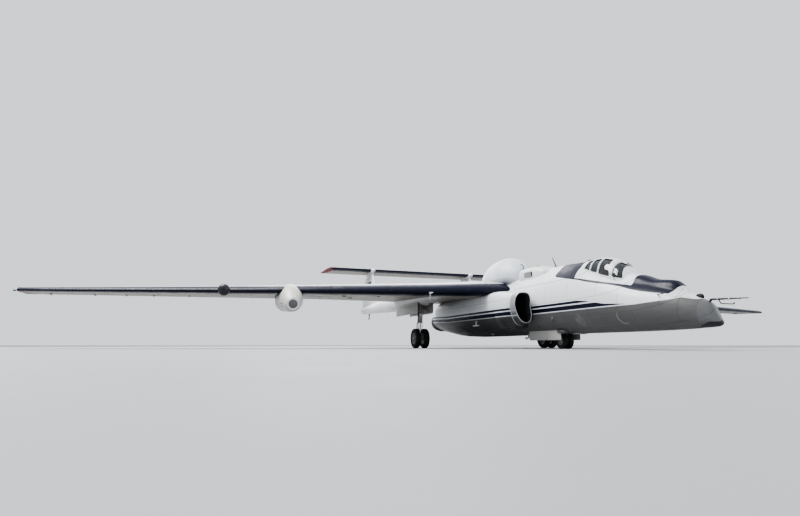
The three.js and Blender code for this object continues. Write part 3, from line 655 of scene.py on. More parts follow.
def fuselage_paint():
    """The navy upper nose with a white sill, a grey cap at the tip, and on the starboard side a patch and a
    painted highlight on a hatch's rim.
    """
    nodes = Nodes("fuselage_paint")
    color = stripes(nodes, WHITE, 0.0)
    along = nodes.between(nodes.y, 0.95, 5.47, 0.01)
    navy = nodes.both(along, nodes.above(nodes.z, nodes.curve(nodes.y, NAVY_EDGE)))
    above_sill = nodes.above(nodes.z, nodes.curve(nodes.y, SILL_EDGE))
    sill = nodes.both(nodes.between(nodes.y, 2.22, 4.33, 0.01), above_sill)
    color = nodes.mix(nodes.both(navy, nodes.other(sill)), color, NAVY)
    cap = nodes.both(nodes.above(0.40, nodes.y), nodes.above(nodes.z, -1.60))
    color = nodes.mix(cap, color, CAP_GREY)
    under_glass = nodes.both(nodes.between(nodes.y, 2.60, 2.76), nodes.above(0.38, nodes.span),
                             nodes.above(nodes.z, -0.30))
    color = nodes.mix(under_glass, color, BLACK)
    starboard = nodes.above(0.0, nodes.x)
    worn = nodes.spread(nodes.noise(7.0, 3), 0.35, 0.65, 0.02, 0.30)
    patch = nodes.both(nodes.disc((4.25, -1.36), 0.20, "x"), starboard, worn)
    color = nodes.mix(patch, color, (0.34, 0.35, 0.36))
    # painted highlight: a light crescent on one side of a round hatch's rim
    inside = nodes.disc((2.43, -1.33), 0.18, "x")
    hatch = nodes.both(nodes.disc((2.47, -1.36), 0.19, "x"), nodes.other(inside), starboard)
    color = nodes.mix(nodes.times(hatch, 0.6), color, (0.32, 0.33, 0.34))
    return painted(nodes, color, nodes.y, nodes.plus(nodes.z, nodes.times(nodes.span, 0.8)))


def engine_paint():
    """The stripes run on; soot underneath, painted shade under and behind the intakes, and a light grey
    collar round the intake mouths with a painted highlight on its rear edge.
    """
    nodes = Nodes("engine_paint")
    color = stripes(nodes, WHITE, nodes.spread(nodes.y, 12.5, 15.35, 0.05, -0.07))
    aft = nodes.both(nodes.spread(nodes.y, 10.0, 11.6), nodes.other(nodes.spread(nodes.y, 13.6, 14.8)))
    low = nodes.spread(nodes.z, -1.12, -1.45)
    patches = nodes.spread(nodes.noise(1.5, 6, (1, 0.6, 1)), 0.50, 0.62)
    smear = nodes.spread(nodes.noise(0.6, 4, (1, 0.5, 1)), 0.35, 0.70, 0.0, 0.45)
    soot = nodes.both(aft, low, nodes.either(patches, smear))
    color = nodes.mix(nodes.times(soot, 0.9), color, (0.012, 0.011, 0.010))
    # painted shade: the lower sides just behind and under the intake mouths are darkened
    shade_behind_intakes = nodes.both(nodes.between(nodes.y, 6.6, 7.9, 0.5), nodes.between(nodes.z, -1.5, -1.12, 0.12))
    color = nodes.mix(nodes.times(shade_behind_intakes, 0.6), color, (0.02, 0.019, 0.018))
    mouth = nodes.line(nodes.z, -MOUTH_LEAN, MOUTH_Y + MOUTH_Z * MOUTH_LEAN)
    back = nodes.minus(nodes.y, mouth)
    collar = nodes.both(nodes.between(back, -0.1, 0.30), nodes.above(nodes.z, -1.0, 0.3))
    color = nodes.mix(collar, color, COLLAR_GREY)
    # painted highlight: a light line along the collar's rear edge, standing for light catching the step there
    color = nodes.mix(nodes.between(back, 0.30, 0.325), color, (0.62, 0.64, 0.67))
    u = nodes.plus(nodes.z, nodes.times(nodes.span, 0.7))
    return painted(nodes, color, nodes.y, u, plate=(1.5, 0.7), dirt=0.5)


def wing_paint(name, leading, band, tip):
    """Light top and warm grey underneath, split by which way the surface faces: the underside's grey is
    partly its paint and partly painted shade; navy leading edge and a dark red raked tip.
    leading, band: the edge's y and the band's width along the span; tip: its span, lean and y."""
    nodes = Nodes(name)
    normal = nodes.tree.nodes.new("ShaderNodeNewGeometry").outputs["Normal"]
    split = nodes.tree.nodes.new("ShaderNodeSeparateXYZ")
    nodes.link(normal, split.inputs[0])
    top = nodes.spread(split.outputs[2], -0.05, 0.05)
    # painted shade in part: surfaces that face down take the darker warm grey
    under = nodes.mix(nodes.cloud(0.4, 5, (1, 1.5, 1)), WARM_GREY, scaled(WARM_GREY, 1.18))
    color = nodes.mix(top, under, WHITE_TOP)
    back = nodes.minus(nodes.y, nodes.curve(nodes.span, leading))
    color = nodes.mix(nodes.above(nodes.curve(nodes.span, band), back, 0.01), color, NAVY)
    place, lean, start = tip
    edge = nodes.minus(place, nodes.times(nodes.minus(nodes.y, start), lean))
    color = nodes.mix(nodes.above(nodes.span, edge, 0.01), color, DARK_RED)
    return painted(nodes, color, nodes.x, nodes.y, plate=(1.35, 0.72), dirt=0.3)


def plain_paint(name, color, plate=(1.1, 0.5), dirt=0.3, upright=False, seams=0.5):
    nodes = Nodes(name)
    cloudy = nodes.mix(nodes.cloud(0.8), color, scaled(color, 0.93))
    across = nodes.z if upright else nodes.span
    return painted(nodes, cloudy, nodes.y, across, plate=plate, dirt=dirt, gloss=0.34, seams=seams)


def boom_paint():
    """White booms: painted shade, a warm grey, on the lower side of their forward part, a grey rear, and a
    seam behind the front cap.
    """
    nodes = Nodes("boom_paint")
    # painted shade: the lower side of the booms' forward part is darkened to a warm grey
    under = nodes.both(nodes.spread(nodes.z, -0.08, -0.34), nodes.spread(nodes.y, 15.5, 12.0))
    color = nodes.mix(nodes.times(under, 0.75), WHITE, (0.42, 0.41, 0.39))
    aft = nodes.spread(nodes.y, 20.2, 22.3)
    color = nodes.mix(nodes.times(aft, 0.5), color, (0.36, 0.36, 0.36))
    seam = nodes.between(nodes.y, 9.80, 9.825)
    color = nodes.mix(nodes.times(seam, 0.5), color, (0.10, 0.10, 0.105))
    u = nodes.plus(nodes.z, nodes.minus(nodes.span, BOOM_X))
    return painted(nodes, color, nodes.y, u, plate=(2.2, 0.9), seams=0.4)


def fin_paint():
    """White fins and rudders; the starboard fin's outer face has a panel in three colours."""
    nodes = Nodes("fin_paint")
    color = nodes.mix(nodes.cloud(0.8), WHITE, scaled(WHITE, 0.9))
    along = nodes.plus(nodes.y, nodes.line(nodes.z, -0.72, 1.224))
    outer = nodes.above(-BOOM_X, nodes.x)
    panel = nodes.both(nodes.between(along, PANEL_START, PANEL_END),
                       nodes.between(nodes.z, PANEL_FOOT, PANEL_TOP), outer)
    behind, over = 0.035, 0.03
    border = nodes.both(nodes.between(along, PANEL_START, PANEL_END + behind),
                        nodes.between(nodes.z, PANEL_FOOT, PANEL_TOP + over), outer)
    color = nodes.mix(border, color, (0.035, 0.035, 0.035))
    bars = nodes.mix(nodes.above(nodes.z, 1.745), (0.006, 0.012, 0.065), (0.60, 0.60, 0.60))
    bars = nodes.mix(nodes.above(1.575, nodes.z), bars, (0.15, 0.006, 0.016))
    color = nodes.mix(panel, color, bars)
    return painted(nodes, color, nodes.y, nodes.z, plate=(1.9, 1.1), seams=0.4)


def metal(name, color, rough=0.35, scratch=0.5, metallic=1.0, scale=9.0, stretch=(1, 1, 1)):
    nodes = Nodes(name)
    patches = nodes.spread(nodes.noise(scale / 3, 4, stretch), 0.35, 0.7, 0, scratch)
    grain = nodes.noise(scale * 6, 3, stretch)
    level = nodes.spread(grain, 0.3, 0.7, rough - 0.08, rough + 0.14)
    tint = nodes.mix(patches, color, scaled(color, 0.45))
    return nodes.finish(tint, level, metallic, nodes.bump(grain, 0.001, 0.5))


def primed(name, color):
    """The inside of a bay: primer over ribs and stringers."""
    nodes = Nodes(name)
    ribs = nodes.either(nodes.above(0.018, nodes.wave(nodes.y, 0.2), 0.012),
                        nodes.above(0.012, nodes.wave(nodes.z, 0.12), 0.01))
    cloud = nodes.noise(2.5, 5)
    tint = nodes.mix(nodes.spread(cloud, 0.35, 0.75), color, scaled(color, 0.4))
    tint = nodes.mix(nodes.times(ribs, 0.35), tint, scaled(color, 1.8))
    return nodes.finish(tint, nodes.spread(cloud, 0.3, 0.7, 0.5, 0.75), normal=nodes.bump(ribs, 0.02, 1.0))


def probe_pod_paint():
    """Light stalk with a dark rounded cap in front."""
    nodes = Nodes("probe_pod_paint")
    color = nodes.mix(nodes.above(10.40, nodes.y), (0.52, 0.53, 0.54), (0.045, 0.047, 0.052))
    return painted(nodes, color, nodes.y, nodes.z, plate=(0.6, 0.4), dirt=0.5)


def glass(name, color, rough=0.06, clear=0.0):
    nodes = Nodes(name)
    smear = nodes.noise(5.0, 4, (1, 0.4, 1))
    tint = nodes.mix(nodes.spread(smear, 0.4, 0.8, 0, 0.5), color, scaled(color, 1.8))
    level = nodes.spread(smear, 0.3, 0.8, rough, rough + 0.10)
    return nodes.finish(tint, level, normal=nodes.bump(nodes.noise(1.2, 2), 0.004, 0.3), Coat_Weight=0.6,
                        Coat_Roughness=0.04, Transmission_Weight=clear)


def rubber():
    nodes = Nodes("tyre_rubber")
    cloud = nodes.noise(7.0, 4)
    tint = nodes.mix(nodes.spread(cloud, 0.35, 0.75), (0.016, 0.016, 0.017), (0.05, 0.048, 0.045))
    worn = nodes.mix(nodes.spread(nodes.noise(22.0, 3), 0.55, 0.75, 0, 0.5), tint, (0.075, 0.072, 0.068))
    rough = nodes.spread(cloud, 0.3, 0.7, 0.62, 0.85)
    return nodes.finish(worn, rough, normal=nodes.bump(nodes.noise(60.0, 3), 0.0012, 0.6))


def dome_paint():
    """Glass-fibre dome: satin, slightly bluish, with gore seams."""
    nodes = Nodes("dome_paint")
    color = nodes.mix(nodes.cloud(1.1), (0.66, 0.70, 0.74), (0.58, 0.62, 0.67))
    gores = nodes.wave(nodes.plus(nodes.y, -0.15), 0.55)
    seam = nodes.either(nodes.above(0.006, gores, 0.004), nodes.between(nodes.z, 0.72, 0.732))
    color = nodes.mix(nodes.times(seam, 0.35), color, (0.2, 0.2, 0.2))
    height = nodes.minus(nodes.times(nodes.noise(0.8, 2), 0.5), seam)
    rough = nodes.cloud(3.0, start=0.38, end=0.52)
    return nodes.finish(color, rough, normal=nodes.bump(height, 0.003, 0.8))


def fabric(name, color, weave=420.0):
    nodes = Nodes(name)
    warp, weft = (nodes.wave(nodes.times(axis, weave), 1.0) for axis in (nodes.x, nodes.y))
    cloth = nodes.times(warp, weft)
    cloud = nodes.noise(6.0, 4)
    tint = nodes.mix(nodes.spread(cloud, 0.35, 0.75), color, scaled(color, 0.55))
    tint = nodes.mix(nodes.times(cloth, 0.3), tint, scaled(color, 1.6))
    rough = nodes.spread(cloud, 0.3, 0.7, 0.75, 0.92)
    return nodes.finish(tint, rough, normal=nodes.bump(cloth, 0.001, 0.6), Sheen_Weight=0.25)


def instrument_face():
    """The panel: dark paint, and round dials in rows with rims and pale scales."""
    nodes = Nodes("instrument_face")
    u = nodes.wave(nodes.plus(nodes.x, 0.06), 0.06)
    v = nodes.wave(nodes.plus(nodes.z, 0.02), 0.06)
    reach = nodes.math("SQRT", nodes.plus(nodes.times(u, u), nodes.times(v, v)))
    face = nodes.above(0.043, reach, 0.002)
    rim = nodes.between(reach, 0.043, 0.048, 0.002)
    ticks = nodes.above(nodes.noise(160.0, 1), 0.5, 0.05)
    marks = nodes.both(nodes.between(reach, 0.030, 0.039, 0.002), ticks)
    color = nodes.mix(nodes.cloud(9.0, 3), (0.05, 0.065, 0.07), (0.035, 0.045, 0.05))
    color = nodes.mix(face, color, (0.006, 0.006, 0.007))
    color = nodes.mix(rim, color, (0.3, 0.3, 0.3))
    color = nodes.mix(marks, color, (0.6, 0.6, 0.55))
    rough = nodes.spread(face, 0, 1, 0.55, 0.2)
    return nodes.finish(color, rough, normal=nodes.bump(nodes.minus(rim, face), 0.004, 0.8))


WING_EDGE = [(0.7, 8.23), (1.78, 8.44), (3.325, 8.90), (7.62, 9.83), (11.8, 10.65), (18.49, 11.65)]
WING_BAND = [(0.0, 0.50), (3.3, 0.45), (18.0, 0.21)]
TAIL_EDGE = [(0.0, 19.65), (7.0, 19.651)]
TAIL_BAND = [(0.0, 0.36), (6.3, 0.35)]
LOOKS = {
    "fuselage": fuselage_paint(),
    "engine": engine_paint(),
    "wing": wing_paint("wing_paint", WING_EDGE, WING_BAND, (18.47, 0.064, 11.65)),
    "tail": wing_paint("tail_paint", TAIL_EDGE, TAIL_BAND, (5.76, -0.132, 19.65)),
    "white": plain_paint("white_paint", WHITE, seams=0.4),
    "door": plain_paint("door_paint", (0.50, 0.49, 0.47), plate=(0.8, 0.4), upright=True),
    "pod": plain_paint("pod_paint", (0.62, 0.61, 0.59), plate=(1.6, 0.9), dirt=0.5, seams=0.35),
    "equipment": plain_paint("equipment_paint", (0.80, 0.81, 0.82), plate=(0.7, 0.35), dirt=0.2),
    "boom": boom_paint(),
    "fin": fin_paint(),
    "dome": dome_paint(),
    "probe_pod": probe_pod_paint(),
    "dark_cap": metal("dark_cap", (0.07, 0.075, 0.085), 0.42, metallic=0.3),
    "steel": metal("bare_steel", (0.55, 0.56, 0.58), 0.28),
    "lip": metal("lip_metal", (0.62, 0.63, 0.65), 0.36, 0.4, 0.7),
    "chrome": metal("oleo_chrome", (0.80, 0.80, 0.82), 0.10, 0.15, stretch=(1, 1, 6)),
    "leg": metal("leg_paint", (0.40, 0.41, 0.42), 0.40, 0.5, 0.15, 5.0),
    "hub": metal("hub_paint", (0.30, 0.32, 0.31), 0.42, 0.5, 0.25, 8.0),
    "black": metal("black_fitting", (0.02, 0.02, 0.022), 0.5, 0.4, 0.1),
    "hot": metal("hot_metal", (0.065, 0.062, 0.062), 0.5, 0.7, 0.7, 6.0, (1, 0.15, 1)),
    # the port nozzle's cowl: painted light, its lighter grey standing for light falling on that side
    "nozzle_painted_lit": metal("nozzle_painted_lit", (0.36, 0.35, 0.34), 0.46, 0.6, 0.5, 6.0, (1, 0.2, 1)),
    "duct": primed("duct_paint", (0.09, 0.09, 0.10)),
    "primer": primed("bay_primer", (0.075, 0.085, 0.06)),
    "cockpit": primed("cockpit_paint", (0.05, 0.07, 0.075)),
    "glass": glass("canopy_glass", (0.20, 0.23, 0.25), 0.02, 0.92),
    "sensor_glass": glass("sensor_glass", (0.12, 0.12, 0.125), 0.12),
    "chin_glass": glass("chin_glass", (0.010, 0.011, 0.014), 0.12),
    "red_glass": glass("red_lamp", (0.35, 0.01, 0.01)),
    "green_glass": glass("green_lamp", (0.01, 0.22, 0.05)),
    "clear_glass": glass("clear_lamp", (0.55, 0.55, 0.5)),
    "tyre": rubber(),
    "seat": fabric("seat_cloth", (0.055, 0.075, 0.04)),
    "strap": fabric("harness_webbing", (0.16, 0.17, 0.10), 700.0),
    "panel": instrument_face(),
}


# Forward fuselage and engine body: tables of sections, from the front, with the columns that Body takes

NOSE_ROWS = [
    (0.0, -1.60, 0.004, -1.596, -1.604), (0.025, -1.59, 0.065, -1.51, -1.655),
    (0.09, -1.55, 0.128, -1.365, -1.688), (0.19, -1.48, 0.20, -1.14, -1.70),
    (0.42, -1.38, 0.328, -0.99, -1.713), (0.75, -1.29, 0.453, -0.825, -1.726),
    (1.15, -1.20, 0.57, -0.62, -1.736),
    (1.70, -1.08, 0.68, -0.44, -1.745), (2.45, -0.94, 0.77, -0.22, -1.75),
    (3.30, -0.77, 0.83, 0.15, -1.75), (4.10, -0.64, 0.86, 0.47, -1.75),
    (4.70, -0.585, 0.86, 0.58, -1.75), (8.0, -0.585, 0.86, 0.58, -1.75),
]
DECK_ROWS = [
    (0.87, -0.86, 0.05, -0.80, -1.05), (0.90, -0.80, 0.12, -0.70, -1.05, 2.2),
    (0.96, -0.76, 0.19, -0.59, -1.10, 2.4), (1.16, -0.70, 0.26, -0.43, -1.10, 2.4),
    (1.70, -0.62, 0.33, -0.33, -1.10, 2.4), (2.20, -0.48, 0.38, -0.14, -1.00, 2.4),
    (2.70, -0.38, 0.42, -0.02, -0.90, 2.4),
]
SPINE_ROWS = [
    (4.33, 0.20, 0.42, 0.59, -0.9, 2.2), (5.0, 0.20, 0.38, 0.64, -0.9, 2.2),
    (5.9, 0.25, 0.33, 0.69, -0.9, 2.2), (6.6, 0.25, 0.30, 0.69, -0.9, 2.2),
]
TRUNK_ROWS = [
    (7.05, -0.70, 1.00, -0.33, -1.30, 3, 2.1), (7.35, -0.65, 1.66, -0.112, -1.512, 3.6, 2.1),
    (8.5, -0.65, 1.68, 0.01, -1.60, 5, 2.05), (11.0, -0.65, 1.68, 0.04, -1.63, 5, 2.05),
    (12.6, -0.65, 1.63, 0.04, -1.64, 5, 2.05), (13.8, -0.65, 1.52, 0.02, -1.61, 5, 2.1),
    (14.7, -0.70, 1.33, -0.04, -1.50, 4, 2.2), (15.35, -0.75, 1.17, -0.12, -1.42, 3.5, 2.3),
]
INTAKE_ROWS = [
    (6.25, -0.70, 0.34, -0.235, -1.335, 3, 2.4), (6.7, -0.70, 0.345, -0.232, -1.345, 3, 2.4),
    (7.0, -0.69, 0.40, -0.19, -1.41, 3, 2.3), (7.4, -0.67, 0.49, -0.13, -1.50, 3.2, 2.2),
    (8.0, -0.65, 0.56, -0.06, -1.54, 3.5, 2.1),
]
TRUNK_CENTRE = -0.65
ENGINE_END = 15.35
INTAKE_OUTBOARD = [1.64, 1.645, 1.65, 1.655, 1.655]
INTAKE_LEAN = [0.24, 0.235, 0.17, 0.08, 0.0]
CORE_ROWS = [
    (8.0, -0.585, 0.86, 0.58, -1.75), (11.0, -0.585, 0.86, 0.64, -1.75),
    (13.0, -0.60, 0.80, 0.54, -1.70), (14.5, -0.65, 0.70, 0.22, -1.56),
    (15.35, -0.70, 0.60, -0.13, -1.43),
]
EQUIPMENT_ROWS = [
    (6.25, 0.50, 0.02, 0.51, 0.30, 3), (6.36, 0.47, 0.30, 0.64, 0.20, 3), (6.5, 0.45, 0.40, 0.72, 0.10, 3),
    (6.8, 0.50, 0.48, 0.84, 0.10, 3), (7.8, 0.50, 0.52, 0.88, 0.10, 3), (7.9, 0.50, 0.50, 0.87, 0.12, 3),
]
DOME_ROWS = [
    (8.05, 0.60, 0.01, 0.61, 0.59), (8.13, 0.62, 0.30, 0.90, 0.30), (8.3, 0.62, 0.52, 1.12, 0.30),
    (8.7, 0.62, 0.76, 1.42, 0.30), (9.3, 0.62, 0.88, 1.57, 0.30), (9.9, 0.62, 0.86, 1.54, 0.30),
    (10.5, 0.62, 0.72, 1.37, 0.30), (11.0, 0.62, 0.48, 1.09, 0.30), (11.3, 0.62, 0.01, 0.63, 0.61),
]
CANOPY_ROWS = [
    (2.44, -0.42, 0.30, -0.19, -0.9), (2.60, -0.33, 0.43, 0.03, -0.9),
    (2.80, -0.26, 0.50, 0.27, -0.8, 2.1), (3.10, -0.15, 0.525, 0.48, -0.7, 2.1),
    (3.50, -0.03, 0.53, 0.60, -0.6, 2.1), (3.90, 0.06, 0.53, 0.63, -0.5, 2.1),
    (4.32, 0.12, 0.51, 0.61, -0.4, 2.1),
]
WINDSCREEN_END = 2.96
CANOPY_END = 4.30
PANES = [
    [(2.595, -0.205), (2.915, -0.125), (2.915, 0.36), (2.74, 0.225)],
    [(3.005, -0.10), (3.45, 0.05), (3.45, 0.545), (3.11, 0.455)],
    [(3.505, 0.09), (3.80, 0.18), (3.80, 0.565), (3.505, 0.55)],
    [(3.85, 0.20), (4.12, 0.30), (4.04, 0.555), (3.85, 0.565)],
]
NOSE_LINE = [
    (0, -1.60), (0.03, -1.585), (0.09, -1.54), (0.19, -1.46), (0.42, -1.34), (0.9, -0.92), (2.7, -0.70),
    (4.3, -0.60), (8, -0.60),
]


def one_body(name, rows, look, x=0.0, count=64, step=0.06, grow=0.0, ys=None):
    """Skins one table of sections, at even steps unless the stations are given."""
    body = Body(rows, x, grow=grow)
    ys = ys or [*np.arange(rows[0][0], rows[-1][0], step), rows[-1][0]]
    return loft(name, blended_skin([body], body.middle, ys, count), look)


def nose_centre(y):
    """The height of a line that lies inside the nose and its deck."""
    return np.interp(y, *zip(*NOSE_LINE))


def forward_skin(name, grow, look, end=8.0, start=0.0):
    """The nose with its deck and the spine behind the cockpit, with stations crowded at the tip."""
    bodies = [Body(NOSE_ROWS, 0, True, grow), Body(DECK_ROWS, grow=grow), Body(SPINE_ROWS, grow=grow)]
    ys = [start + 0.0006, *(0.0035 * k ** 1.9 for k in range(1, 20)), *np.arange(0.95, 4.30, 0.06)]
    ys += [4.325, 4.332, 4.38, *np.arange(4.5, 6.5, 0.1), 6.598, 6.605, 7.0, 7.5, end]
    ys = sorted(y for y in ys if start <= y <= end)
    return loft(name, blended_skin(bodies, nose_centre, ys, 112), look)


def nose_only(name, grow, start, end, look):
    body = Body(NOSE_ROWS, 0, True, grow)
    return loft(name, blended_skin([body], body.middle, [*np.arange(start, end, 0.12), end], 80), look)


def chin_region(name, inset, look):
    """The corner under the nose tip that the glazed chin fills."""
    top, back = -1.575 - inset, 0.56 - inset
    side = [(-0.4, top), (0.20, top), (back, -1.72), (back, -1.90), (-0.4, -1.90)]
    return prism(name, side, -0.6, 0.6, look)


def make_forward_fuselage():
    nose = forward_skin("fuselage_skin", 0.0, "fuselage")
    front, rear = 2.72, 4.18
    tub = nose_only("tub", -0.09, front, rear, "cockpit")
    combine(tub, [box("tub_floor", (-1, 2.5, -3), (1, 4.5, -1.15), "cockpit")])
    hatch = box("hatch", (-0.45, front, -0.85), (0.45, rear, 2.0), "cockpit")
    bay = box("nose_bay", (-0.38, 5.56, -3.0), (0.38, 7.55, -1.05), "primer")
    chin = duplicate(nose, "chin_window")
    chin.data.materials.clear()
    chin.data.materials.append(LOOKS["chin_glass"])
    combine(chin, [chin_region("chin_in", 0.004, "chin_glass")], "INTERSECT")
    piece(chin, "airframe", ["nose_window"])
    combine(nose, [tub, hatch, bay, chin_region("chin_out", 0.0, "black")])
    piece(nose, "airframe", ["fuselage_nose"])


def canopy_body(name, look, start, end, depth):
    """The canopy's form between two stations, that deep under its outer face."""
    inside = [y for y in np.arange(2.44, 4.32, 0.045) if start < y < end]
    return one_body(name, CANOPY_ROWS, look, grow=-depth, ys=[start, *inside, end], count=72)


def shell(name, look, start, end, depths, clearance, panes=(), front_wall=-0.02, rear_wall=-0.02):
    """A shell of the canopy that stands clear of the fuselage, with panes cut through both sides.
    A wall under 0 leaves that end open."""
    outer = canopy_body(name, look, start, end, depths[0])
    inner = canopy_body("inside", look, start + front_wall, end - rear_wall, depths[1])
    seat = forward_skin("seat", clearance, look, end=4.6, start=2.0)
    cuts = [prism("pane", rounded(pane, 0.05), -0.9, 0.9, look) for pane in panes]
    return combine(outer, [inner, seat, *cuts])


def make_canopy():
    frame_depths = (0.0, 0.036)
    front_end, rear_start = WINDSCREEN_END - 0.004, WINDSCREEN_END + 0.004
    front = shell("windscreen_frame_skin", "white", 2.44, front_end, frame_depths, 0.001, PANES[:1], 0.02)
    front_glass = shell("windscreen_glass_skin", "glass", 2.47, front_end, (0.030, 0.042), 0.001)
    rear = shell("canopy_frame_skin", "white", rear_start, CANOPY_END, frame_depths, 0.005, PANES[1:],
                 rear_wall=0.04)
    rear_glass = shell("canopy_glass_skin", "glass", rear_start, CANOPY_END - 0.045, (0.030, 0.043), 0.005)
    piece(front, "airframe", ["windscreen_frame"])
    piece(front_glass, "airframe", ["windscreen_glass"])
    piece(merged("canopy_frame_skin", [rear, *hinge_arm()]), "canopy", ["canopy_frame"])
    piece(rear_glass, "canopy", ["canopy_glass"])
    side = [(4.318, 0.45), (4.372, 0.45), (4.60, 0.50), (4.372, 0.672), (4.345, 0.684), (4.318, 0.672)]
    lugs = [prism("lug", rounded(side, 0.02), x, x + 0.028, "leg", 0.003) for x in (0.066, -0.094)]
    piece(merged("canopy_lugs", lugs))


def hinge_arm():
    y, z = 4.345, 0.655
    side = [(4.262, z - 0.13), (4.299, z - 0.13), (4.299, z - 0.026), (y, z - 0.026),
            (y + 0.018, z - 0.018), (y + 0.026, z), (y + 0.018, z + 0.018), (y, z + 0.026),
            (4.262, z - 0.045)]
    return [prism("canopy_arm", side, -0.058, 0.058, "leg", 0.004),
            pin("canopy_pin", (0, y, z), 0.09, 0.012, "steel")]


def mouth_y(z):
    """The intake mouths lean: their y at a height."""
    return MOUTH_Y + (MOUTH_Z - z) * MOUTH_LEAN


def intake_ring(y, grow, count=72):
    """The egg-shaped section of the port intake: points (x, z) around it."""
    def column(values):
        return smooth_column(np.array([y]), [row[0] for row in INTAKE_ROWS], values)[0]
    wide, half, top, bottom, above, below = (column([row[k] for row in INTAKE_ROWS]) for k in range(1, 7))
    outboard, lean = column(INTAKE_OUTBOARD), column(INTAKE_LEAN)
    points = []
    for c, s in circle(count, math.pi / count):
        power = 2 / (above if s > 0 else below)
        height = (top - wide if s > 0 else wide - bottom) + grow
        z = wide + height * math.copysign(abs(s) ** power, s)
        x = outboard - half + (half + grow) * math.copysign(abs(c) ** power, c)
        points.append((x - lean * max(0.0, (wide - z) / (wide - bottom)), z))
    return points


def intake_bodies(grow, start, end, look):
    """Both intakes, as bodies to join or cut with."""
    ys = [*np.arange(start, end, 0.05), end]
    port = loft("intake", [[(x, y, z) for x, z in intake_ring(y, grow)] for y in ys], look)
    return [port, mirrored(port, "other_intake")]


def make_engine_body():
    ys = [7.05, 7.1, 7.15, 7.2, 7.25, 7.3, 7.35, *np.arange(7.45, 15.3, 0.15)]
    ys += [8.0, 8.002, 15.30, 15.335, ENGINE_END]
    bodies = [Body(TRUNK_ROWS), Body(CORE_ROWS)]
    rings = blended_skin(bodies, TRUNK_CENTRE, sorted(set(ys)), 160, 0.05)
    for r, share in ((-1, 0.965), (-2, 0.99)):
        rings[r] = [(x * share, y, -0.77 + (z + 0.77) * share) for x, y, z in rings[r]]
    skin = loft("engine_skin", rings, "engine")
    combine(skin, intake_bodies(0.0, 6.25, 8.0, "engine"), "UNION")
    ahead = prism("mouth", [(0, 0.5), (mouth_y(0.5), 0.5), (mouth_y(-2.5), -2.5), (0, -2.5)], -3, 3, "lip")
    diverter = nose_only("diverter", 0.06, 5.5, 7.10, "engine")
    combine(skin, [ahead, diverter, engine_duct()])
    piece(skin, "airframe", ["engine_body"])
    for side, sign in SIDES.items():
        make_intake(side, sign)
        make_nozzle(side, sign)


def engine_duct():
    """The hollow behind both intakes, on either side of the fuselage inside the engine body."""
    inset = Body(TRUNK_ROWS, grow=-0.035)
    ys = [7.36, *np.arange(7.5, 9.3, 0.2), 9.3]
    duct = loft("duct", blended_skin([inset], TRUNK_CENTRE, ys, 112), "duct")
    combine(duct, intake_bodies(-0.035, 6.25, 7.9, "duct"), "UNION")
    core = nose_only("duct_core", 0.105, 5.5, 7.95, "duct")
    rear = blended_skin([Body(CORE_ROWS, grow=0.105)], -0.585, [8.0, 8.7, 9.5], 80)
    rear = loft("duct_rear", rear, "duct")
    joint = box("duct_joint", (-0.965, 7.9, -3), (0.965, 8.05, 1), "duct")
    lid = box("duct_lid", (-3, 5, -0.06), (3, 10, 2), "duct")
    return combine(duct, [core, rear, joint, lid])


def bead(name, points, radius, look, sides=10):
    """A round bead along a closed line of points."""
    path = [Vector(p) for p in points]
    size = len(path)
    rings = []
    normal = (path[size // 4] - path[0]).cross(path[size // 2] - path[0]).normalized()
    for k, point in enumerate(path):
        ahead = (path[(k + 1) % size] - path[k - 1]).normalized()
        across = ahead.cross(normal).normalized()
        rings.append([tuple(point + (across * c + normal * s) * radius) for c, s in circle(sides)])
    return looped_loft(name, rings, look)


def make_intake(side, sign):
    line = [(sign * x, mouth_y(z), z) for x, z in intake_ring(6.5, -0.0175, 120)]
    piece(bead(f"intake_lip_{side}", line, 0.0205, "lip"))
    x, y, z = sign * 1.18, 8.95, -0.72
    lean = Matrix.Rotation(math.radians(38), 4, "Z")
    hub = [(0, 0.001), (0.03, 0.05), (0.10, 0.10), (0.22, 0.13), (0.24, 0)]
    fan = [lathe("fan_disc", [(0, 0), (0, 0.40), (0.02, 0.42), (0.04, 0)], (x, y + 0.05, z), AFT, "black"),
           lathe("fan_hub", hub, (x, y - 0.17, z), AFT, "steel", 32),
           *spokes("blade", (-0.028, -0.02, 0.12), (0.028, 0.02, 0.40), "steel", 20, (x, y, z), lean)]
    piece(merged(f"intake_fan_{side}", fan))


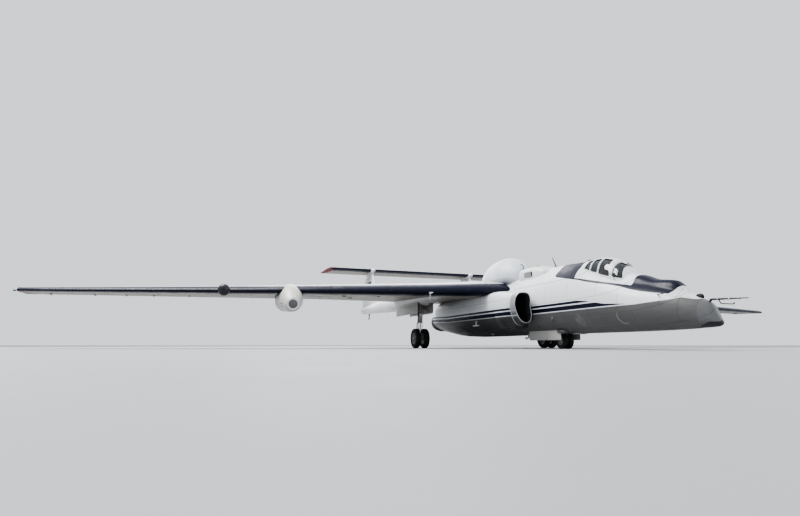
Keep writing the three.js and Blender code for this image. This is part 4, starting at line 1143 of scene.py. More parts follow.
def make_nozzle(side, sign):
    """A cowl with a rim and ribs, and inside it a plug on vanes. The port cowl is painted lighter than the
    starboard one: painted light.
    """
    x, z = sign * 0.56, -0.90
    front, rim = (x, ENGINE_END, z), (x, ENGINE_END + 0.58, z)
    cowl = [(0.0, 0.40), (0.0, 0.50), (0.14, 0.497), (0.15, 0.488), (0.16, 0.488), (0.17, 0.496),
            (0.40, 0.468), (0.57, 0.441), (0.58, 0.435), (0.575, 0.424), (0.40, 0.425), (0.12, 0.41),
            (0.12, 0.0)]
    plug = [(0.10, 0.0), (0.10, 0.21), (0.18, 0.205), (0.34, 0.06), (0.37, 0.0)]
    edge = [(0, 0.430), (-0.006, 0.440), (-0.03, 0.447), (-0.05, 0.449), (-0.05, 0.43)]
    foot = Matrix.Translation((0, 0.20, 0.476))
    lean = foot @ Matrix.Rotation(math.radians(-6.2), 4, "X") @ foot.inverted()
    # the port cowl takes the lighter look: painted light
    parts = [lathe("cowl", cowl, front, AFT, "nozzle_painted_lit" if side == "port" else "hot", 72),
             lathe("plug", plug, front, AFT, "steel", 40),
             *spokes("vane", (-0.008, 0.10, 0.18), (0.008, 0.20, 0.415), "steel", 12, front),
             *spokes("rib", (-0.010, 0.20, 0.452), (0.010, 0.56, 0.476), "hot", 24, front, lean),
             lathe("rim", edge, rim, AFT, "hot", 72)]
    piece(merged(f"nozzle_{side}_fine", parts), "airframe", [f"nozzle_{side}"])


def make_dorsal():
    bay = one_body("equipment_skin", EQUIPMENT_ROWS, "equipment", count=72, step=0.08)
    piece(bay, "airframe", ["equipment_fairing"])
    dome = one_body("dome_skin", DOME_ROWS, "dome", count=88, step=0.07)
    piece(dome, "airframe", ["dorsal_dome"])


# Wings, tail surfaces and their hinged pieces
# Wing columns: x, leading edge, trailing edge, height, thickness as a share of the chord, rake of the tip

WING_BEND = 11.8
WING_INNER = [
    (0.70, 8.23, 14.87, 0.020, 0.12, 0), (1.78, 8.44, 14.52, 0.015, 0.12, 0),
    (3.325, 8.90, 14.06, 0.0, 0.122, 0), (7.6185, 9.83, 13.43, -0.045, 0.125, 0),
]
WING_OUTER = [
    (7.6215, 9.83, 13.43, -0.045, 0.125, 0), (WING_BEND, 10.65, 13.40, -0.105, 0.12, 0),
    (18.474, 11.647, 13.21, -0.210, 0.11, 0.24),
]
TAIL_RIGHT = [(0.0, 19.65, 22.0, 2.45, 0.099, 0.0), (5.83, 19.65, 22.0, 2.45, 0.099, 0.35)]
FLAP = {"start": (3.90, 12.95, 0.072), "end": (7.48, 12.62, 0.022), "radius": 0.14, "reach": 1.6}
AILERON = {"start": (12.55, 12.69, -0.052), "end": (18.0, 12.83, -0.160), "radius": 0.092, "reach": 1.1}
RUDDER = {"start": (3.325, 20.925, 0.44), "end": (3.325, 21.19, 2.09), "radius": 0.11, "reach": 1.5}
ELEVATOR = {"start": (-5.5, 21.17, 2.45), "end": (5.5, 21.17, 2.45), "radius": 0.086, "reach": 1.2}
# Fin columns: z, leading edge, trailing edge, thickness as a share of the chord
FIN_ROWS = [
    (0.0, 17.90, 22.23, 0.06), (0.42, 18.48, 22.18, 0.08), (0.80, 18.75, 22.14, 0.09),
    (2.33, 19.70, 21.98, 0.095),
]
BULLET_ROWS = [
    (19.29, 2.40, 0.004, 2.404, 2.396), (19.33, 2.40, 0.04, 2.44, 2.36), (19.45, 2.40, 0.095, 2.50, 2.30),
    (19.70, 2.40, 0.12, 2.54, 2.26), (20.2, 2.40, 0.11, 2.54, 2.27), (20.5, 2.40, 0.004, 2.404, 2.396),
]
RUNNING_GAP = 0.012
# The main wheel bays: their sides and their front
BAY_INNER, BAY_OUTER, BAY_FRONT = 2.985, 3.665, 10.9


def aerofoil(thickness, camber, count=26):
    """Outline as (chord share, height share), from the trailing edge over the top and back underneath."""
    shares = [(1 - math.cos(math.pi * k / count)) / 2 for k in range(count + 1)]

    def half(s):
        bow = 0.2969 * math.sqrt(s) - 0.126 * s - 0.3516 * s * s + 0.2843 * s ** 3 - 0.1036 * s ** 4
        return 5 * thickness * bow + 0.0035 * s

    def mean(s):
        return camber * ((0.8 * s - s * s) / 0.16 if s < 0.4 else (0.2 + 0.8 * s - s * s) / 0.36)
    over = [(s, mean(s) + half(s)) for s in reversed(shares)]
    return over + [(s, mean(s) - half(s)) for s in shares[1:]]


def between_rows(rows, steps):
    """The rows of a table with even steps between them."""
    fine = []
    for a, b in zip(rows, rows[1:]):
        fine += [tuple(p + (q - p) * k / steps for p, q in zip(a, b)) for k in range(steps)]
    return fine + [rows[-1]]


def wing_skin(name, rows, look, camber=0.035, per_bay=6):
    outlines = []
    for x, lead, trail, z, thick, rake in between_rows(rows, per_bay):
        chord, shape = trail - lead, aerofoil(thick, camber)
        outlines.append([(x + rake * s, lead + s * chord, z + h * chord) for s, h in shape])
    tip = outlines[-1]
    _, y0, z0 = (sum(p[k] for p in tip) / len(tip) for k in range(3))
    for share, out in ((0.985, 0.007), (0.94, 0.016)):
        flat = 1 - (1 - share) * 0.4
        outlines.append([(x + out, y0 + (y - y0) * flat, z0 + (z - z0) * share) for x, y, z in tip])
    return loft(name, outlines, look, sharp=30)


def hinge_cutter(name, hinge, radius, inset, look):
    """What lies behind a hinge line, with a round nose on the line, short of both its ends by the inset."""
    start, end = Vector(hinge["start"]), Vector(hinge["end"])
    along = (end - start).normalized()
    aft = Vector(AFT)
    aft = (aft - along * aft.dot(along)).normalized()
    up = along.cross(aft).normalized()
    tall = 0.5
    outline = [(inset, -tall), (hinge["reach"], -tall), (hinge["reach"], tall), (inset, tall)]
    edge = math.acos(inset / radius)
    steps = 24
    for k in range(steps + 1):
        angle = edge + (2 * math.pi - 2 * edge) * k / steps
        outline.append((radius * math.cos(angle), radius * math.sin(angle)))
    ends = (start + along * inset, end - along * inset)
    return extruded(name, *([tuple(p + aft * a + up * b) for a, b in outline] for p in ends), look)


def split(surface, name, hinge, look):
    """The moving piece; the surface itself keeps the fixed part."""
    moving = duplicate(surface, name)
    combine(moving, [hinge_cutter("moving_part", hinge, hinge["radius"], RUNNING_GAP, look)], "INTERSECT")
    combine(surface, [hinge_cutter("cove", hinge, hinge["radius"] + RUNNING_GAP, 0.0, "primer")])
    return moving


def both_sides(port, name, node, body=None):
    """The port piece and its mirror image, on the airframe or on the moving body of each side."""
    for side, obj in (("port", port), ("starboard", mirrored(port, f"{name}_starboard"))):
        piece(obj, f"{body}_{side}" if body else "airframe", [f"{node}_{side}"])


def make_wings():
    inner = wing_skin("inner_wing_port", WING_INNER, "wing")
    flap = split(inner, "flap_skin_port", FLAP, "wing")
    combine(inner, [box("wing_bay", (BAY_INNER, BAY_FRONT, -3), (BAY_OUTER, 13.15, 0.06), "primer")])
    outer = wing_skin("outer_wing_port", WING_OUTER, "wing", per_bay=8)
    aileron = split(outer, "aileron_skin_port", AILERON, "wing")
    both_sides(inner, "inner_wing", "wing_inner")
    both_sides(outer, "outer_wing", "wing_outer")
    both_sides(flap, "flap_skin", "flap", "flap")
    both_sides(aileron, "aileron_skin", "aileron", "aileron")


# Columns: y, height, radius
BOOM_ROWS = [
    (9.475, 0, 0.02), (9.49, 0, 0.055), (9.52, 0, 0.105), (9.65, 0, 0.22), (9.90, 0, 0.33),
    (10.3, 0, 0.405), (11.2, 0, 0.445), (14.0, 0, 0.442), (15.0, 0, 0.425), (16.0, 0.005, 0.39),
    (18.0, 0.025, 0.332), (20.0, 0.038, 0.268), (21.0, 0.042, 0.24), (21.5, 0.044, 0.22),
    (22.0, 0.048, 0.16), (22.3, 0.055, 0.095), (22.42, 0.059, 0.05), (22.455, 0.06, 0.012),
]


def make_booms():
    rows = [(y, z, r, z + r, z - r) for y, z, r in BOOM_ROWS]
    ys = [9.475, 9.48, 9.49, 9.505, 9.52, 9.55, 9.6, 9.65, 9.72, 9.8, 9.9, 10.0, 10.15]
    ys += [*np.arange(10.3, 22.3, 0.22), 22.36, 22.42, 22.455]
    boom = one_body("boom_skin_port", rows, "boom", BOOM_X, 56, ys=ys)
    combine(boom, [box("boom_bay", (BAY_INNER, BAY_FRONT, -3), (BAY_OUTER, 13.95, 0.12), "primer")])
    other = mirrored(boom, "boom_skin_starboard")
    line = [(BOOM_X, y, 0.06) for y in (22.35, 22.46, 22.62, 22.76, 22.838)]
    spike = tube("boom_spike", line, [0.058, 0.055, 0.045, 0.028, 0.010], "black")
    piece(merged("boom_skin_port", [boom, spike]), "airframe", ["boom_port"])
    piece(other, "airframe", ["boom_starboard"])


def fin_skin(name, look):
    outlines = []
    for z, lead, trail, thick in between_rows(FIN_ROWS, 4):
        chord = trail - lead
        outlines.append([(BOOM_X + h * chord, lead + s * chord, z) for s, h in aerofoil(thick, 0)])
    return loft(name, outlines, look, sharp=30)


def make_tail():
    fin = fin_skin("fin_skin_port", "fin")
    combine(fin, [box("over_rudder", (2.9, 20.91, 2.1), (3.7, 23, 2.6), "fin")])
    rudder = split(fin, "rudder_skin_port", RUDDER, "fin")
    bullet = one_body("bullet", BULLET_ROWS, "fin", BOOM_X, 40, step=0.05)
    both_sides(merged("fin_skin_port", [fin, bullet]), "fin_skin", "fin")
    both_sides(rudder, "rudder_skin", "rudder", "rudder")
    tail = wing_skin("tailplane_skin", TAIL_RIGHT, "tail", 0.0, 10)
    combine(tail, [mirrored(tail, "tail_left")], "UNION")
    elevator = split(tail, "elevator_skin", ELEVATOR, "tail")
    piece(tail, "airframe", ["tailplane"])
    piece(elevator, "elevator", ["elevator"])


# Pods

POD_ROWS = [
    (9.42, -0.64, 0.225, -0.415, -0.865), (9.44, -0.635, 0.24, -0.395, -0.874),
    (9.70, -0.54, 0.35, -0.18, -0.90), (10.1, -0.42, 0.44, 0.08, -0.89), (10.8, -0.34, 0.48, 0.26, -0.84),
    (12.0, -0.27, 0.47, 0.24, -0.74), (12.5, -0.25, 0.45, 0.19, -0.715), (12.9, -0.22, 0.385, 0.11, -0.64),
    (13.2, -0.21, 0.24, 0.01, -0.53), (13.29, -0.25, 0.15, -0.10, -0.45),
    (13.34, -0.30, 0.004, -0.296, -0.304),
]
PROBE_ROWS = [
    (10.11, -0.10, 0.004, -0.096, -0.104), (10.13, -0.10, 0.07, -0.03, -0.17),
    (10.15, -0.10, 0.12, 0.02, -0.22), (10.25, -0.10, 0.20, 0.10, -0.30), (10.38, -0.10, 0.22, 0.12, -0.32),
    (10.56, -0.10, 0.19, 0.09, -0.29), (10.9, -0.09, 0.15, 0.07, -0.24), (11.3, -0.08, 0.004, -0.076, -0.084),
]


def make_sensor_pods():
    """Pods with a round window in a rim, set back in their front face."""
    front = (POD_X, 9.42, -0.64)
    pod = one_body("pod_skin_port", POD_ROWS, "pod", POD_X, 64, step=0.08)
    combine(pod, [lathe("recess", [(-0.1, 0), (-0.1, 0.168), (0.06, 0.160), (0.06, 0)], front, AFT, "pod")])
    rim = [(0.03, 0.166), (-0.0005, 0.180), (-0.0005, 0.205), (0.012, 0.222), (0.05, 0.232), (0.05, 0.166)]
    pane = [(0.055, 0.0), (0.055, 0.1635), (0.035, 0.1635), (0.024, 0.155), (0.018, 0.12), (0.016, 0.0)]
    pod = merged("pod_skin_port", [pod, lathe("pod_ring", rim, front, AFT, "white", 64)])
    both_sides(pod, "pod_skin", "sensor_pod")
    window = lathe("pod_window_skin_port", pane, front, AFT, "sensor_glass")
    both_sides(window, "pod_window_skin", "pod_window")


def make_probe_pods():
    """Small pods with a band behind their dark caps, and a spike on the starboard one."""
    probe = one_body("probe_pod_skin_port", PROBE_ROWS, "probe_pod", PROBE_X, 44, step=0.03)
    band = [(0.0, 0.21), (0.005, 0.2215), (0.03, 0.2235), (0.035, 0.215)]
    band = lathe("band", band, (PROBE_X, 10.37, -0.10), AFT, "black", 44)
    both_sides(merged("probe_pod_skin_port", [probe, band]), "probe_pod_skin", "probe_pod")
    line = [(-PROBE_X, y, -0.10) for y in (10.13, 9.98, 9.72)]
    piece(tube("probe_spike", line, [0.03, 0.018, 0.010], "black", 14))


make_forward_fuselage()
make_canopy()
make_engine_body()
make_dorsal()
make_wings()
make_booms()
make_tail()
make_sensor_pods()
make_probe_pods()


# Landing gear

MAIN_Y = 11.615
NOSE_Y = 5.89
MAIN = {"y": MAIN_Y, "z": -1.83529, "track": 0.205, "radius": 0.4247, "width": 0.218, "rim": 0.232,
        "axle": 0.045, "grooves": 4}
NOSE = {"y": 5.95, "z": -1.97441, "track": 0.115, "radius": 0.2855, "width": 0.148, "rim": 0.148,
        "axle": 0.028, "grooves": 3}


def tyre(name, x, gear):
    """A tyre with a round shoulder, its tread grooves, and a raised rim guard on each wall."""
    radius, rim, half = gear["radius"], gear["rim"], gear["width"] / 2
    wall = [(-0.70, rim * 0.985), (-0.80, rim), (-0.90, rim * 1.06), (-0.97, rim * 1.18),
            (-1.0, rim + (radius - rim) * 0.50), (-0.985, rim + (radius - rim) * 0.66),
            (-0.92, radius * 0.945), (-0.80, radius * 0.978), (-0.66, radius * 0.993)]
    wall = [(half * share, r) for share, r in wall]
    tread = []
    for k in range(gear["grooves"]):
        centre = (k - (gear["grooves"] - 1) / 2) * gear["width"] * 0.17
        for offset, depth in ((-0.007, 0), (-0.005, 0.010), (0.005, 0.010), (0.007, 0)):
            tread.append((centre + offset, (radius - depth) * (1 - 0.004 * (centre / half) ** 2)))
    bed = [(half * 0.5, rim * 0.97), (-half * 0.5, rim * 0.97)]
    profile = wall + tread + [(-a, r) for a, r in reversed(wall)] + bed
    turns = circle(84)
    rings = [[(x + a, gear["y"] + r * c, gear["z"] + r * s) for c, s in turns] for a, r in profile]
    return looped_loft(name, rings, "tyre", 28)


def ring_of_places(centre, radius, count, start=0.0):
    """Places evenly round an axis along X."""
    x, y, z = centre
    return [(x, y + radius * c, z + radius * s) for c, s in circle(count, start)]


def rim_parts(x, gear, out):
    """One wheel: a dished rim with holes, a ring of bolts, a cap outside and a brake pack inside."""
    y, z, rim, half = gear["y"], gear["z"], gear["rim"], gear["width"] / 2
    face = out * half
    across = (out, 0, 0)
    shares = [(-0.82, 0.975), (-0.88, 1.02), (-0.80, 1.03), (-0.74, 0.93), (-0.30, 0.86), (0.30, 0.86),
              (0.74, 0.93), (0.80, 1.03), (0.88, 1.02), (0.82, 0.90), (0.55, 0.80), (0.42, 0.62),
              (0.48, 0.40), (0.62, 0.34), (0.70, 0.24), (0.70, 0.0), (-0.2, 0.0)]
    wheel = lathe("rim", [(face * a, rim * r) for a, r in shares], (x, y, z), PORT, "hub", 56)
    places = ring_of_places((x, y, z), rim * 0.63, 9)
    holes = [pin("hole", place, half, rim * 0.10, "black", 14) for place in places]
    combine(wheel, [merged("holes", holes)])
    bolt = [(0, 0), (0, 0.010), (0.014, 0.010), (0.016, 0.007), (0.016, 0)]
    places = ring_of_places((x + face * 0.60, y, z), rim * 0.285, 12, math.pi / 12)
    bolts = [lathe("bolt", bolt, place, across, "steel", 6) for place in places]
    cap = [(0, 0), (0, rim * 0.20), (0.020, rim * 0.19), (0.034, rim * 0.12), (0.036, 0)]
    brake = [(0, 0.25), (0.0, 0.74), (0.02, 0.76), (0.03, 0.72), (0.04, 0.76), (0.05, 0.72), (0.06, 0.76),
             (0.07, 0.70), (0.07, 0.25)]
    brake = [(a, rim * r) for a, r in brake]
    return [wheel, *bolts, lathe("cap", cap, (x + face * 0.68, y, z), across, "steel", 32),
            lathe("brake", brake, (x - face * 0.80, y, z), across, "black", 40)]


def wheels(body, prefix, centre, gear, places):
    """A pair of wheels on one axle: two tyres, and one hub piece with the rest."""
    parts = []
    for place, way in places.items():
        x = centre + way * gear["track"]
        piece(tyre(f"{prefix}_tyre_{place}_skin", x, gear), body, [f"{prefix}_tyre_{place}"])
        parts += rim_parts(x, gear, way)
    middle = (centre, gear["y"], gear["z"])
    parts.append(pin("shaft", middle, gear["track"], gear["axle"] * 0.98, "steel", 28))
    piece(merged(f"{prefix}_hub_skin", parts), body, [f"{prefix}_hub"])


def clamp_ring(point, axis, radius, width=0.028):
    half, edge, top = width / 2, radius * 1.06, radius * 1.12
    profile = [(-half, radius * 0.9), (-half, edge), (-width * 0.3, top), (width * 0.3, top), (half, edge),
               (half, radius * 0.9)]
    return lathe("clamp", profile, point, axis, "steel", 36)


def torque_link(start, end, width, thick):
    """A flat tapering fork of two arms, with bosses at its ends."""
    start, end = Vector(start), Vector(end)
    parts = []

    def section(centre, across):
        corners = ((-0.010, -1), (0.010, -1), (0.010, 1), (-0.010, 1))
        return [tuple(centre + Vector((x, 0, 0)) + across * k) for x, k in corners]
    for side in (-1, 1):
        a = start + Vector((side * width * 0.8, 0, 0))
        b = end + Vector((side * width * 0.25, 0, 0))
        across = (end - start).normalized().cross(Vector(PORT)).normalized() * thick
        parts.append(loft("arm", [section(point, across) for point in (a, (a + b) / 2, b)], "leg"))
    parts.append(pin("boss", start, width * 0.95, thick * 1.1, "steel", 20))
    parts.append(pin("boss", end, width * 0.5, thick * 1.1, "steel", 20))
    return parts


def lamp(place, cup, pane, depth, sides):
    """A lamp that looks ahead: a cup and its glass that far in front."""
    x, y, z = place
    return [lathe("lamp", cup, place, AHEAD, "steel", sides),
            lathe("lamp_glass", pane, (x, y - depth, z), AHEAD, "clear_glass", sides)]


def main_brace(x, top):
    """The drag strut, with its clamp, pins and mount."""
    y = MAIN_Y
    line = [(x, y + 0.08, -0.50), (x, y + 0.46, -0.245), (x, y + 0.90, -0.01)]
    return [tube("brace", line, [0.040, 0.044, 0.040], "leg", 24),
            clamp_ring(line[1], (0, 0.84, 0.51), 0.05, 0.09),
            pin("brace_pin", line[0], 0.07, 0.034, "steel"),
            pin("brace_pin", line[2], 0.07, 0.034, "steel"),
            box("brace_mount", (x - 0.088, y + 0.842, -0.03), (x + 0.088, y + 0.958, top), "leg", 0.008)]


def main_leg(side, sign):
    x, y = sign * BOOM_X, MAIN_Y
    top = 0.0597
    barrel = [(0, 0), (0, 0.088), (0.10, 0.096), (0.16, 0.104), (0.20, 0.104), (0.22, 0.094), (0.80, 0.094),
              (0.82, 0.104), (0.88, 0.104), (0.90, 0.096), (1.08, 0.096), (1.10, 0.104), (1.16, 0.104),
              (1.175, 0.094), (1.175, 0)]
    oleo = [(0, 0), (0, 0.062), (0.52, 0.062), (0.52, 0)]
    foot = [(0, 0), (0, 0.07), (0.04, 0.078), (0.10, 0.078), (0.20, 0.095), (0.30, 0.098), (0.30, 0)]
    boss = [(-0.078, 0.047), (-0.078, 0.095), (-0.066, 0.103), (0.066, 0.103), (0.078, 0.095),
            (0.078, 0.047)]
    jack = [(0, 0), (0, 0.035), (0.34, 0.035), (0.345, 0.02), (0.62, 0.02), (0.62, 0)]
    cup = [(0, 0), (0, 0.04), (0.05, 0.075), (0.07, 0.08), (0.075, 0.06), (0.07, 0)]
    pane = [(0, 0), (0, 0.068), (0.008, 0.05), (0.010, 0)]
    knee = (x, y + 0.24, -1.42)
    hose = [(0.112, -0.03, -0.10), (0.112, -0.03, -0.62), (0.114, -0.02, -1.05), (0.14, 0.05, -1.30),
            (0.15, 0.06, -1.50), (0.105, 0.03, -1.70), (0.09, 0.0, -1.76)]
    pipe = [(-0.112, -0.04, -0.12), (-0.112, -0.04, -0.9), (-0.13, 0.02, -1.30), (-0.10, 0.02, -1.72)]
    hose, pipe = ([(x + sign * dx, y + dy, z) for dx, dy, z in line] for line in (hose, pipe))
    parts = [
        box("mount", (x - 0.148, y - 0.128, -0.03), (x + 0.148, y + 0.128, top), "leg", 0.012),
        lathe("barrel", barrel, (x, y, 0.02), DOWN, "leg"),
        lathe("oleo", oleo, (x, y, -1.14), DOWN, "chrome"),
        lathe("foot", foot, (x, y, -1.58), DOWN, "leg", 40),
        lathe("axle_boss", boss, (x, y, MAIN["z"]), PORT, "leg", 44),
        *torque_link((x, y + 0.115, -1.10), knee, 0.062, 0.022),
        *torque_link((x, y + 0.09, -1.74), knee, 0.062, 0.022),
        *main_brace(x, top),
        *(clamp_ring((x, y, z), UP, 0.098) for z in (-0.34, -0.62, -0.95)),
        bent_tube("brake_hose", hose, 0.010, "black", 10),
        bent_tube("brake_pipe", pipe, 0.008, "steel", 10),
        lathe("jack", jack, (x, y + 0.02, -0.36), (0, -0.9, 0.55), "leg", 24),
        *lamp((x, y - 0.10, -0.80), cup, pane, 0.073, 32),
    ]
    piece(merged(f"main_leg_{side}_fine", parts), "airframe", [f"main_leg_{side}"])


def ribbed_door(name, near, way, outline, thick, depth, half, ribs, stringers):
    """A gear door: a plate with rolled edges, and ribs and stringers on its inner face.
    ribs: their places along Y, and between which heights; stringers: their heights, and their ends."""
    inner, outer = near - way * depth, near + way * 0.004
    parts = [prism(name, outline, near + way * 0.002, near + way * thick, "door", 0.003)]
    places, low, high = ribs
    for y in places:
        parts.append(box("rib", (inner, y - half, low), (outer, y + half, high), "door", 0.003))
    places, start, end = stringers
    for z in places:
        parts.append(box("stringer", (inner, start, z - half), (outer, end, z + half), "door", 0.003))
    return parts


def main_doors(side, sign):
    """The doors on both sides of a main wheel bay, each with its hinge rod."""
    outline = plate(10.92, -0.76, 13.93, -0.15, 0.06)
    ribs = ([11.05 + k * 0.345 for k in range(9)], -0.73, -0.36)
    stringers = ((-0.70, -0.40), 11.0, 13.85)
    for place, way in (("inner", -sign), ("outer", sign)):
        name = f"main_door_{side}_{place}"
        near = sign * BOOM_X + way * 0.346
        parts = ribbed_door(f"{name}_fine", near, way, outline, 0.016, 0.012, 0.012, ribs, stringers)
        hinge = near + way * 0.012
        parts.append(tube("door_hinge", [(hinge, 11.0, -0.30), (hinge, 13.85, -0.30)], 0.011, "steel", 10))
        piece(merged(f"{name}_fine", parts), "airframe", [name])


def nose_doors():
    outline = plate(5.60, -1.955, 7.51, -1.42, 0.05)
    ribs = ([5.70 + k * 0.285 for k in range(7)], -1.93, -1.60)
    stringers = ((-1.89,), 5.64, 7.47)
    for side, sign in SIDES.items():
        name = f"nose_door_{side}"
        near = sign * 0.388
        parts = ribbed_door(f"{name}_fine", near, sign, outline, 0.014, 0.010, 0.010, ribs, stringers)
        piece(merged(f"{name}_fine", parts), "airframe", [name])


def nose_leg():
    """The fixed part of the nose leg: barrel, drag strut, steering motors and taxi lamps."""
    y = NOSE_Y
    roof = -1.0503
    barrel = [(0, 0), (0, 0.064), (0.06, 0.074), (0.12, 0.074), (0.14, 0.064), (0.30, 0.064), (0.32, 0.073),
              (0.386, 0.073), (0.386, 0.0)]
    brace = [(0, y + 0.05, -1.44), (0, y + 0.40, -1.27), (0, y + 0.76, -1.11)]
    motor = [(0, 0), (0, 0.034), (0.12, 0.036), (0.13, 0.02), (0.13, 0)]
    cup = [(0, 0), (0, 0.035), (0.04, 0.062), (0.055, 0.066), (0.058, 0.05), (0.055, 0)]
    pane = [(0, 0), (0, 0.055), (0.006, 0.04), (0.008, 0)]
    parts = [
        box("mount", (-0.118, y - 0.108, -1.14), (0.118, y + 0.108, roof), "leg", 0.010),
        lathe("barrel", barrel, (0, y, -1.108), DOWN, "leg", 44),
        tube("brace", brace, [0.030, 0.033, 0.030], "leg"),
        clamp_ring(brace[1], (0, 0.9, 0.43), 0.036, 0.06),
        box("brace_mount", (-0.068, y + 0.702, -1.14), (0.068, y + 0.818, roof), "leg", 0.006),
    ]
    for sign in (-1, 1):
        arm = [(sign * 0.05, y - 0.02, -1.34), (sign * 0.11, y - 0.08, -1.34)]
        parts.append(lathe("steer_motor", motor, (sign * 0.075, y - 0.05, -1.42), UP, "steel", 24))
        parts += lamp((sign * 0.11, y - 0.075, -1.34), cup, pane, 0.056, 28)
        parts.append(tube("lamp_arm", arm, 0.014, "steel", 10))
    piece(merged("nose_leg_fine", parts), "airframe", ["nose_leg"])


def nose_fork():
    """The steered part, down to the axle."""
    y = NOSE_Y
    axle = (0, NOSE["y"], NOSE["z"])
    collar = [(0, 0), (0, 0.056), (0.015, 0.060), (0.05, 0.060), (0.06, 0.050), (0.145, 0.050), (0.147, 0)]
    stem = [(0, y, -1.63), (0, y + 0.006, -1.70), (0, y + 0.045, -1.86), axle]
    boss = [(-0.025, 0.029), (-0.025, 0.055), (-0.020, 0.059), (0.020, 0.059), (0.025, 0.055),
            (0.025, 0.029)]
    knee = (0, y - 0.15, -1.67)
    parts = [
        lathe("collar", collar, (0, y, -1.508), DOWN, "chrome", 40),
        tube("fork", stem, [0.048, 0.040, 0.030, 0.027], "leg", 28),
        lathe("axle_boss", boss, axle, PORT, "leg", 40),
        *torque_link((0, y - 0.062, -1.56), knee, 0.030, 0.012),
        *torque_link((0, y - 0.035, -1.80), knee, 0.020, 0.012),
    ]
    piece(merged("nose_fork_fine", parts), "nose_steering", ["nose_fork"])


def make_gear():
    for side, sign in SIDES.items():
        places = {"inner": -sign, "outer": sign}
        wheels(f"main_wheels_{side}", f"main_{side}", sign * BOOM_X, MAIN, places)
        main_leg(side, sign)
        main_doors(side, sign)
    wheels("nose_wheels", "nose", 0.0, NOSE, SIDES)
    nose_leg()
    nose_fork()
    nose_doors()


make_gear()


# Cockpit

SEAT_FLOOR = -1.1497
PAD_THICKNESS = 0.03


def slab(near, far, across, along, up):
    """Points and faces of a gridded slab: its top, then its bottom, in rows from near to far."""
    row, size = across + 1, (across + 1) * (along + 1)
    bottom = []
    for v, u in itertools.product(range(along + 1), range(row)):
        shares = Vector((u / across, v / along, v / along))
        bottom.append(Vector(near) + shares * (Vector(far) - Vector(near)))
    points = [p + Vector(up) * PAD_THICKNESS for p in bottom] + bottom
    faces = []
    for j, i in itertools.product(range(along), range(across)):
        a = j * row + i
        faces.append((a, a + 1, a + row + 1, a + row))
        faces.append((size + a, size + a + row, size + a + row + 1, size + a + 1))
    last = along * row
    edges = []
    for i in range(across):
        edges += [(i, i + 1), (last + i + 1, last + i)]
    for j in range(along):
        edges += [((j + 1) * row, j * row), (j * row + across, (j + 1) * row + across)]
    return points, faces + [(a, size + a, size + b, b) for a, b in edges]


def quilted(name, near, far, across, along, channels, up, puff):
    """A stuffed cushion by cloth simulation: its seams are held, and pressure fills what is between."""
    pad = mesh_object(name, *slab(near, far, across, along, up), "seat", 60)
    row, size = across + 1, (across + 1) * (along + 1)
    seam = along // channels
    held = pad.vertex_groups.new(name="held")
    spots = itertools.product(range(along + 1), range(row))
    keep = [j * row + i for j, i in spots if j % seam == 0 or i in (0, across)]
    held.add(keep + list(range(size, 2 * size)), 1.0, "REPLACE")
    inflate(pad, puff)
    smooth = pad.modifiers.new("smooth", "SUBSURF")
    smooth.levels = 1
    applied(pad)
    shade(pad, 70)
    piece(pad)


def inflate(pad, puff, moments=24):
    cloth = pad.modifiers.new("cloth", "CLOTH")
    cloth.settings.quality = 6
    cloth.settings.vertex_group_mass = "held"
    cloth.settings.use_pressure = True
    cloth.settings.uniform_pressure_force = puff
    cloth.settings.tension_stiffness = 12
    cloth.settings.compression_stiffness = 12
    cloth.settings.bending_stiffness = 0.4
    cloth.settings.effector_weights.gravity = 0.0
    cloth.point_cache.frame_start = 1
    cloth.point_cache.frame_end = moments
    for moment in range(1, moments + 1):
        bpy.context.scene.frame_set(moment)
    applied(pad)
    bpy.context.scene.frame_set(1)


def ribbon(name, points, across=PORT, width=0.045, thick=0.004):
    """A strap along a smooth line through the points, its width along `across`."""
    side = Vector(across)
    path = [Vector(p) for p in smooth_path(points)]
    rings = []
    for k, p in enumerate(path):
        ahead = (path[min(k + 1, len(path) - 1)] - path[max(k - 1, 0)]).normalized()
        out = side.cross(ahead).normalized() * thick / 2
        corners = ((-1, -1), (1, -1), (1, 1), (-1, 1))
        rings.append([tuple(p + side * a * width / 2 + out * b) for a, b in corners])
    return loft(name, rings, "strap", sharp=30)


def make_seat():
    """The seat's shell: side walls, rails, pan, back, head box and the handle in front."""
    wall = [(3.352, SEAT_FLOOR), (3.352, -0.79), (3.74, -0.74), (3.80, -0.60), (3.91, -0.14), (3.99, -0.06),
            (4.125, -0.06), (3.995, SEAT_FLOOR)]
    back = [(3.86, SEAT_FLOOR), (3.845, -0.80), (4.015, -0.06), (4.12, -0.06), (3.99, SEAT_FLOOR)]
    head = [(3.995, -0.06), (3.965, 0.195), (4.085, 0.205), (4.118, -0.06)]
    loop = [(0.03, 3.365, -0.87), (0.045, 3.352, -0.80), (0.02, 3.353, -0.76), (0, 3.353, -0.752)]
    parts = [box("pan", (-0.205, 3.36, SEAT_FLOOR), (0.205, 3.86, -0.865), "cockpit", 0.01),
             prism("back", back, -0.205, 0.205, "cockpit", 0.008),
             prism("headbox", rounded(head, 0.03), -0.148, 0.148, "cockpit", 0.010)]
    for sign in (-1, 1):
        rail = [(sign * 0.13, 4.06, SEAT_FLOOR + 0.02), (sign * 0.13, 4.115, -0.20)]
        handle = [(sign * x, y, z) for x, y, z in loop]
        parts.append(prism("seat_wall", rounded(wall, 0.03), sign * 0.205, sign * 0.238, "cockpit", 0.004))
        parts.append(tube("rail", rail, 0.020, "steel", 16))
        parts.append(bent_tube("pull_handle", handle, 0.008, "red_glass", 10))
    piece(merged("pilot_seat_shell", parts), "airframe", ["pilot_seat"])


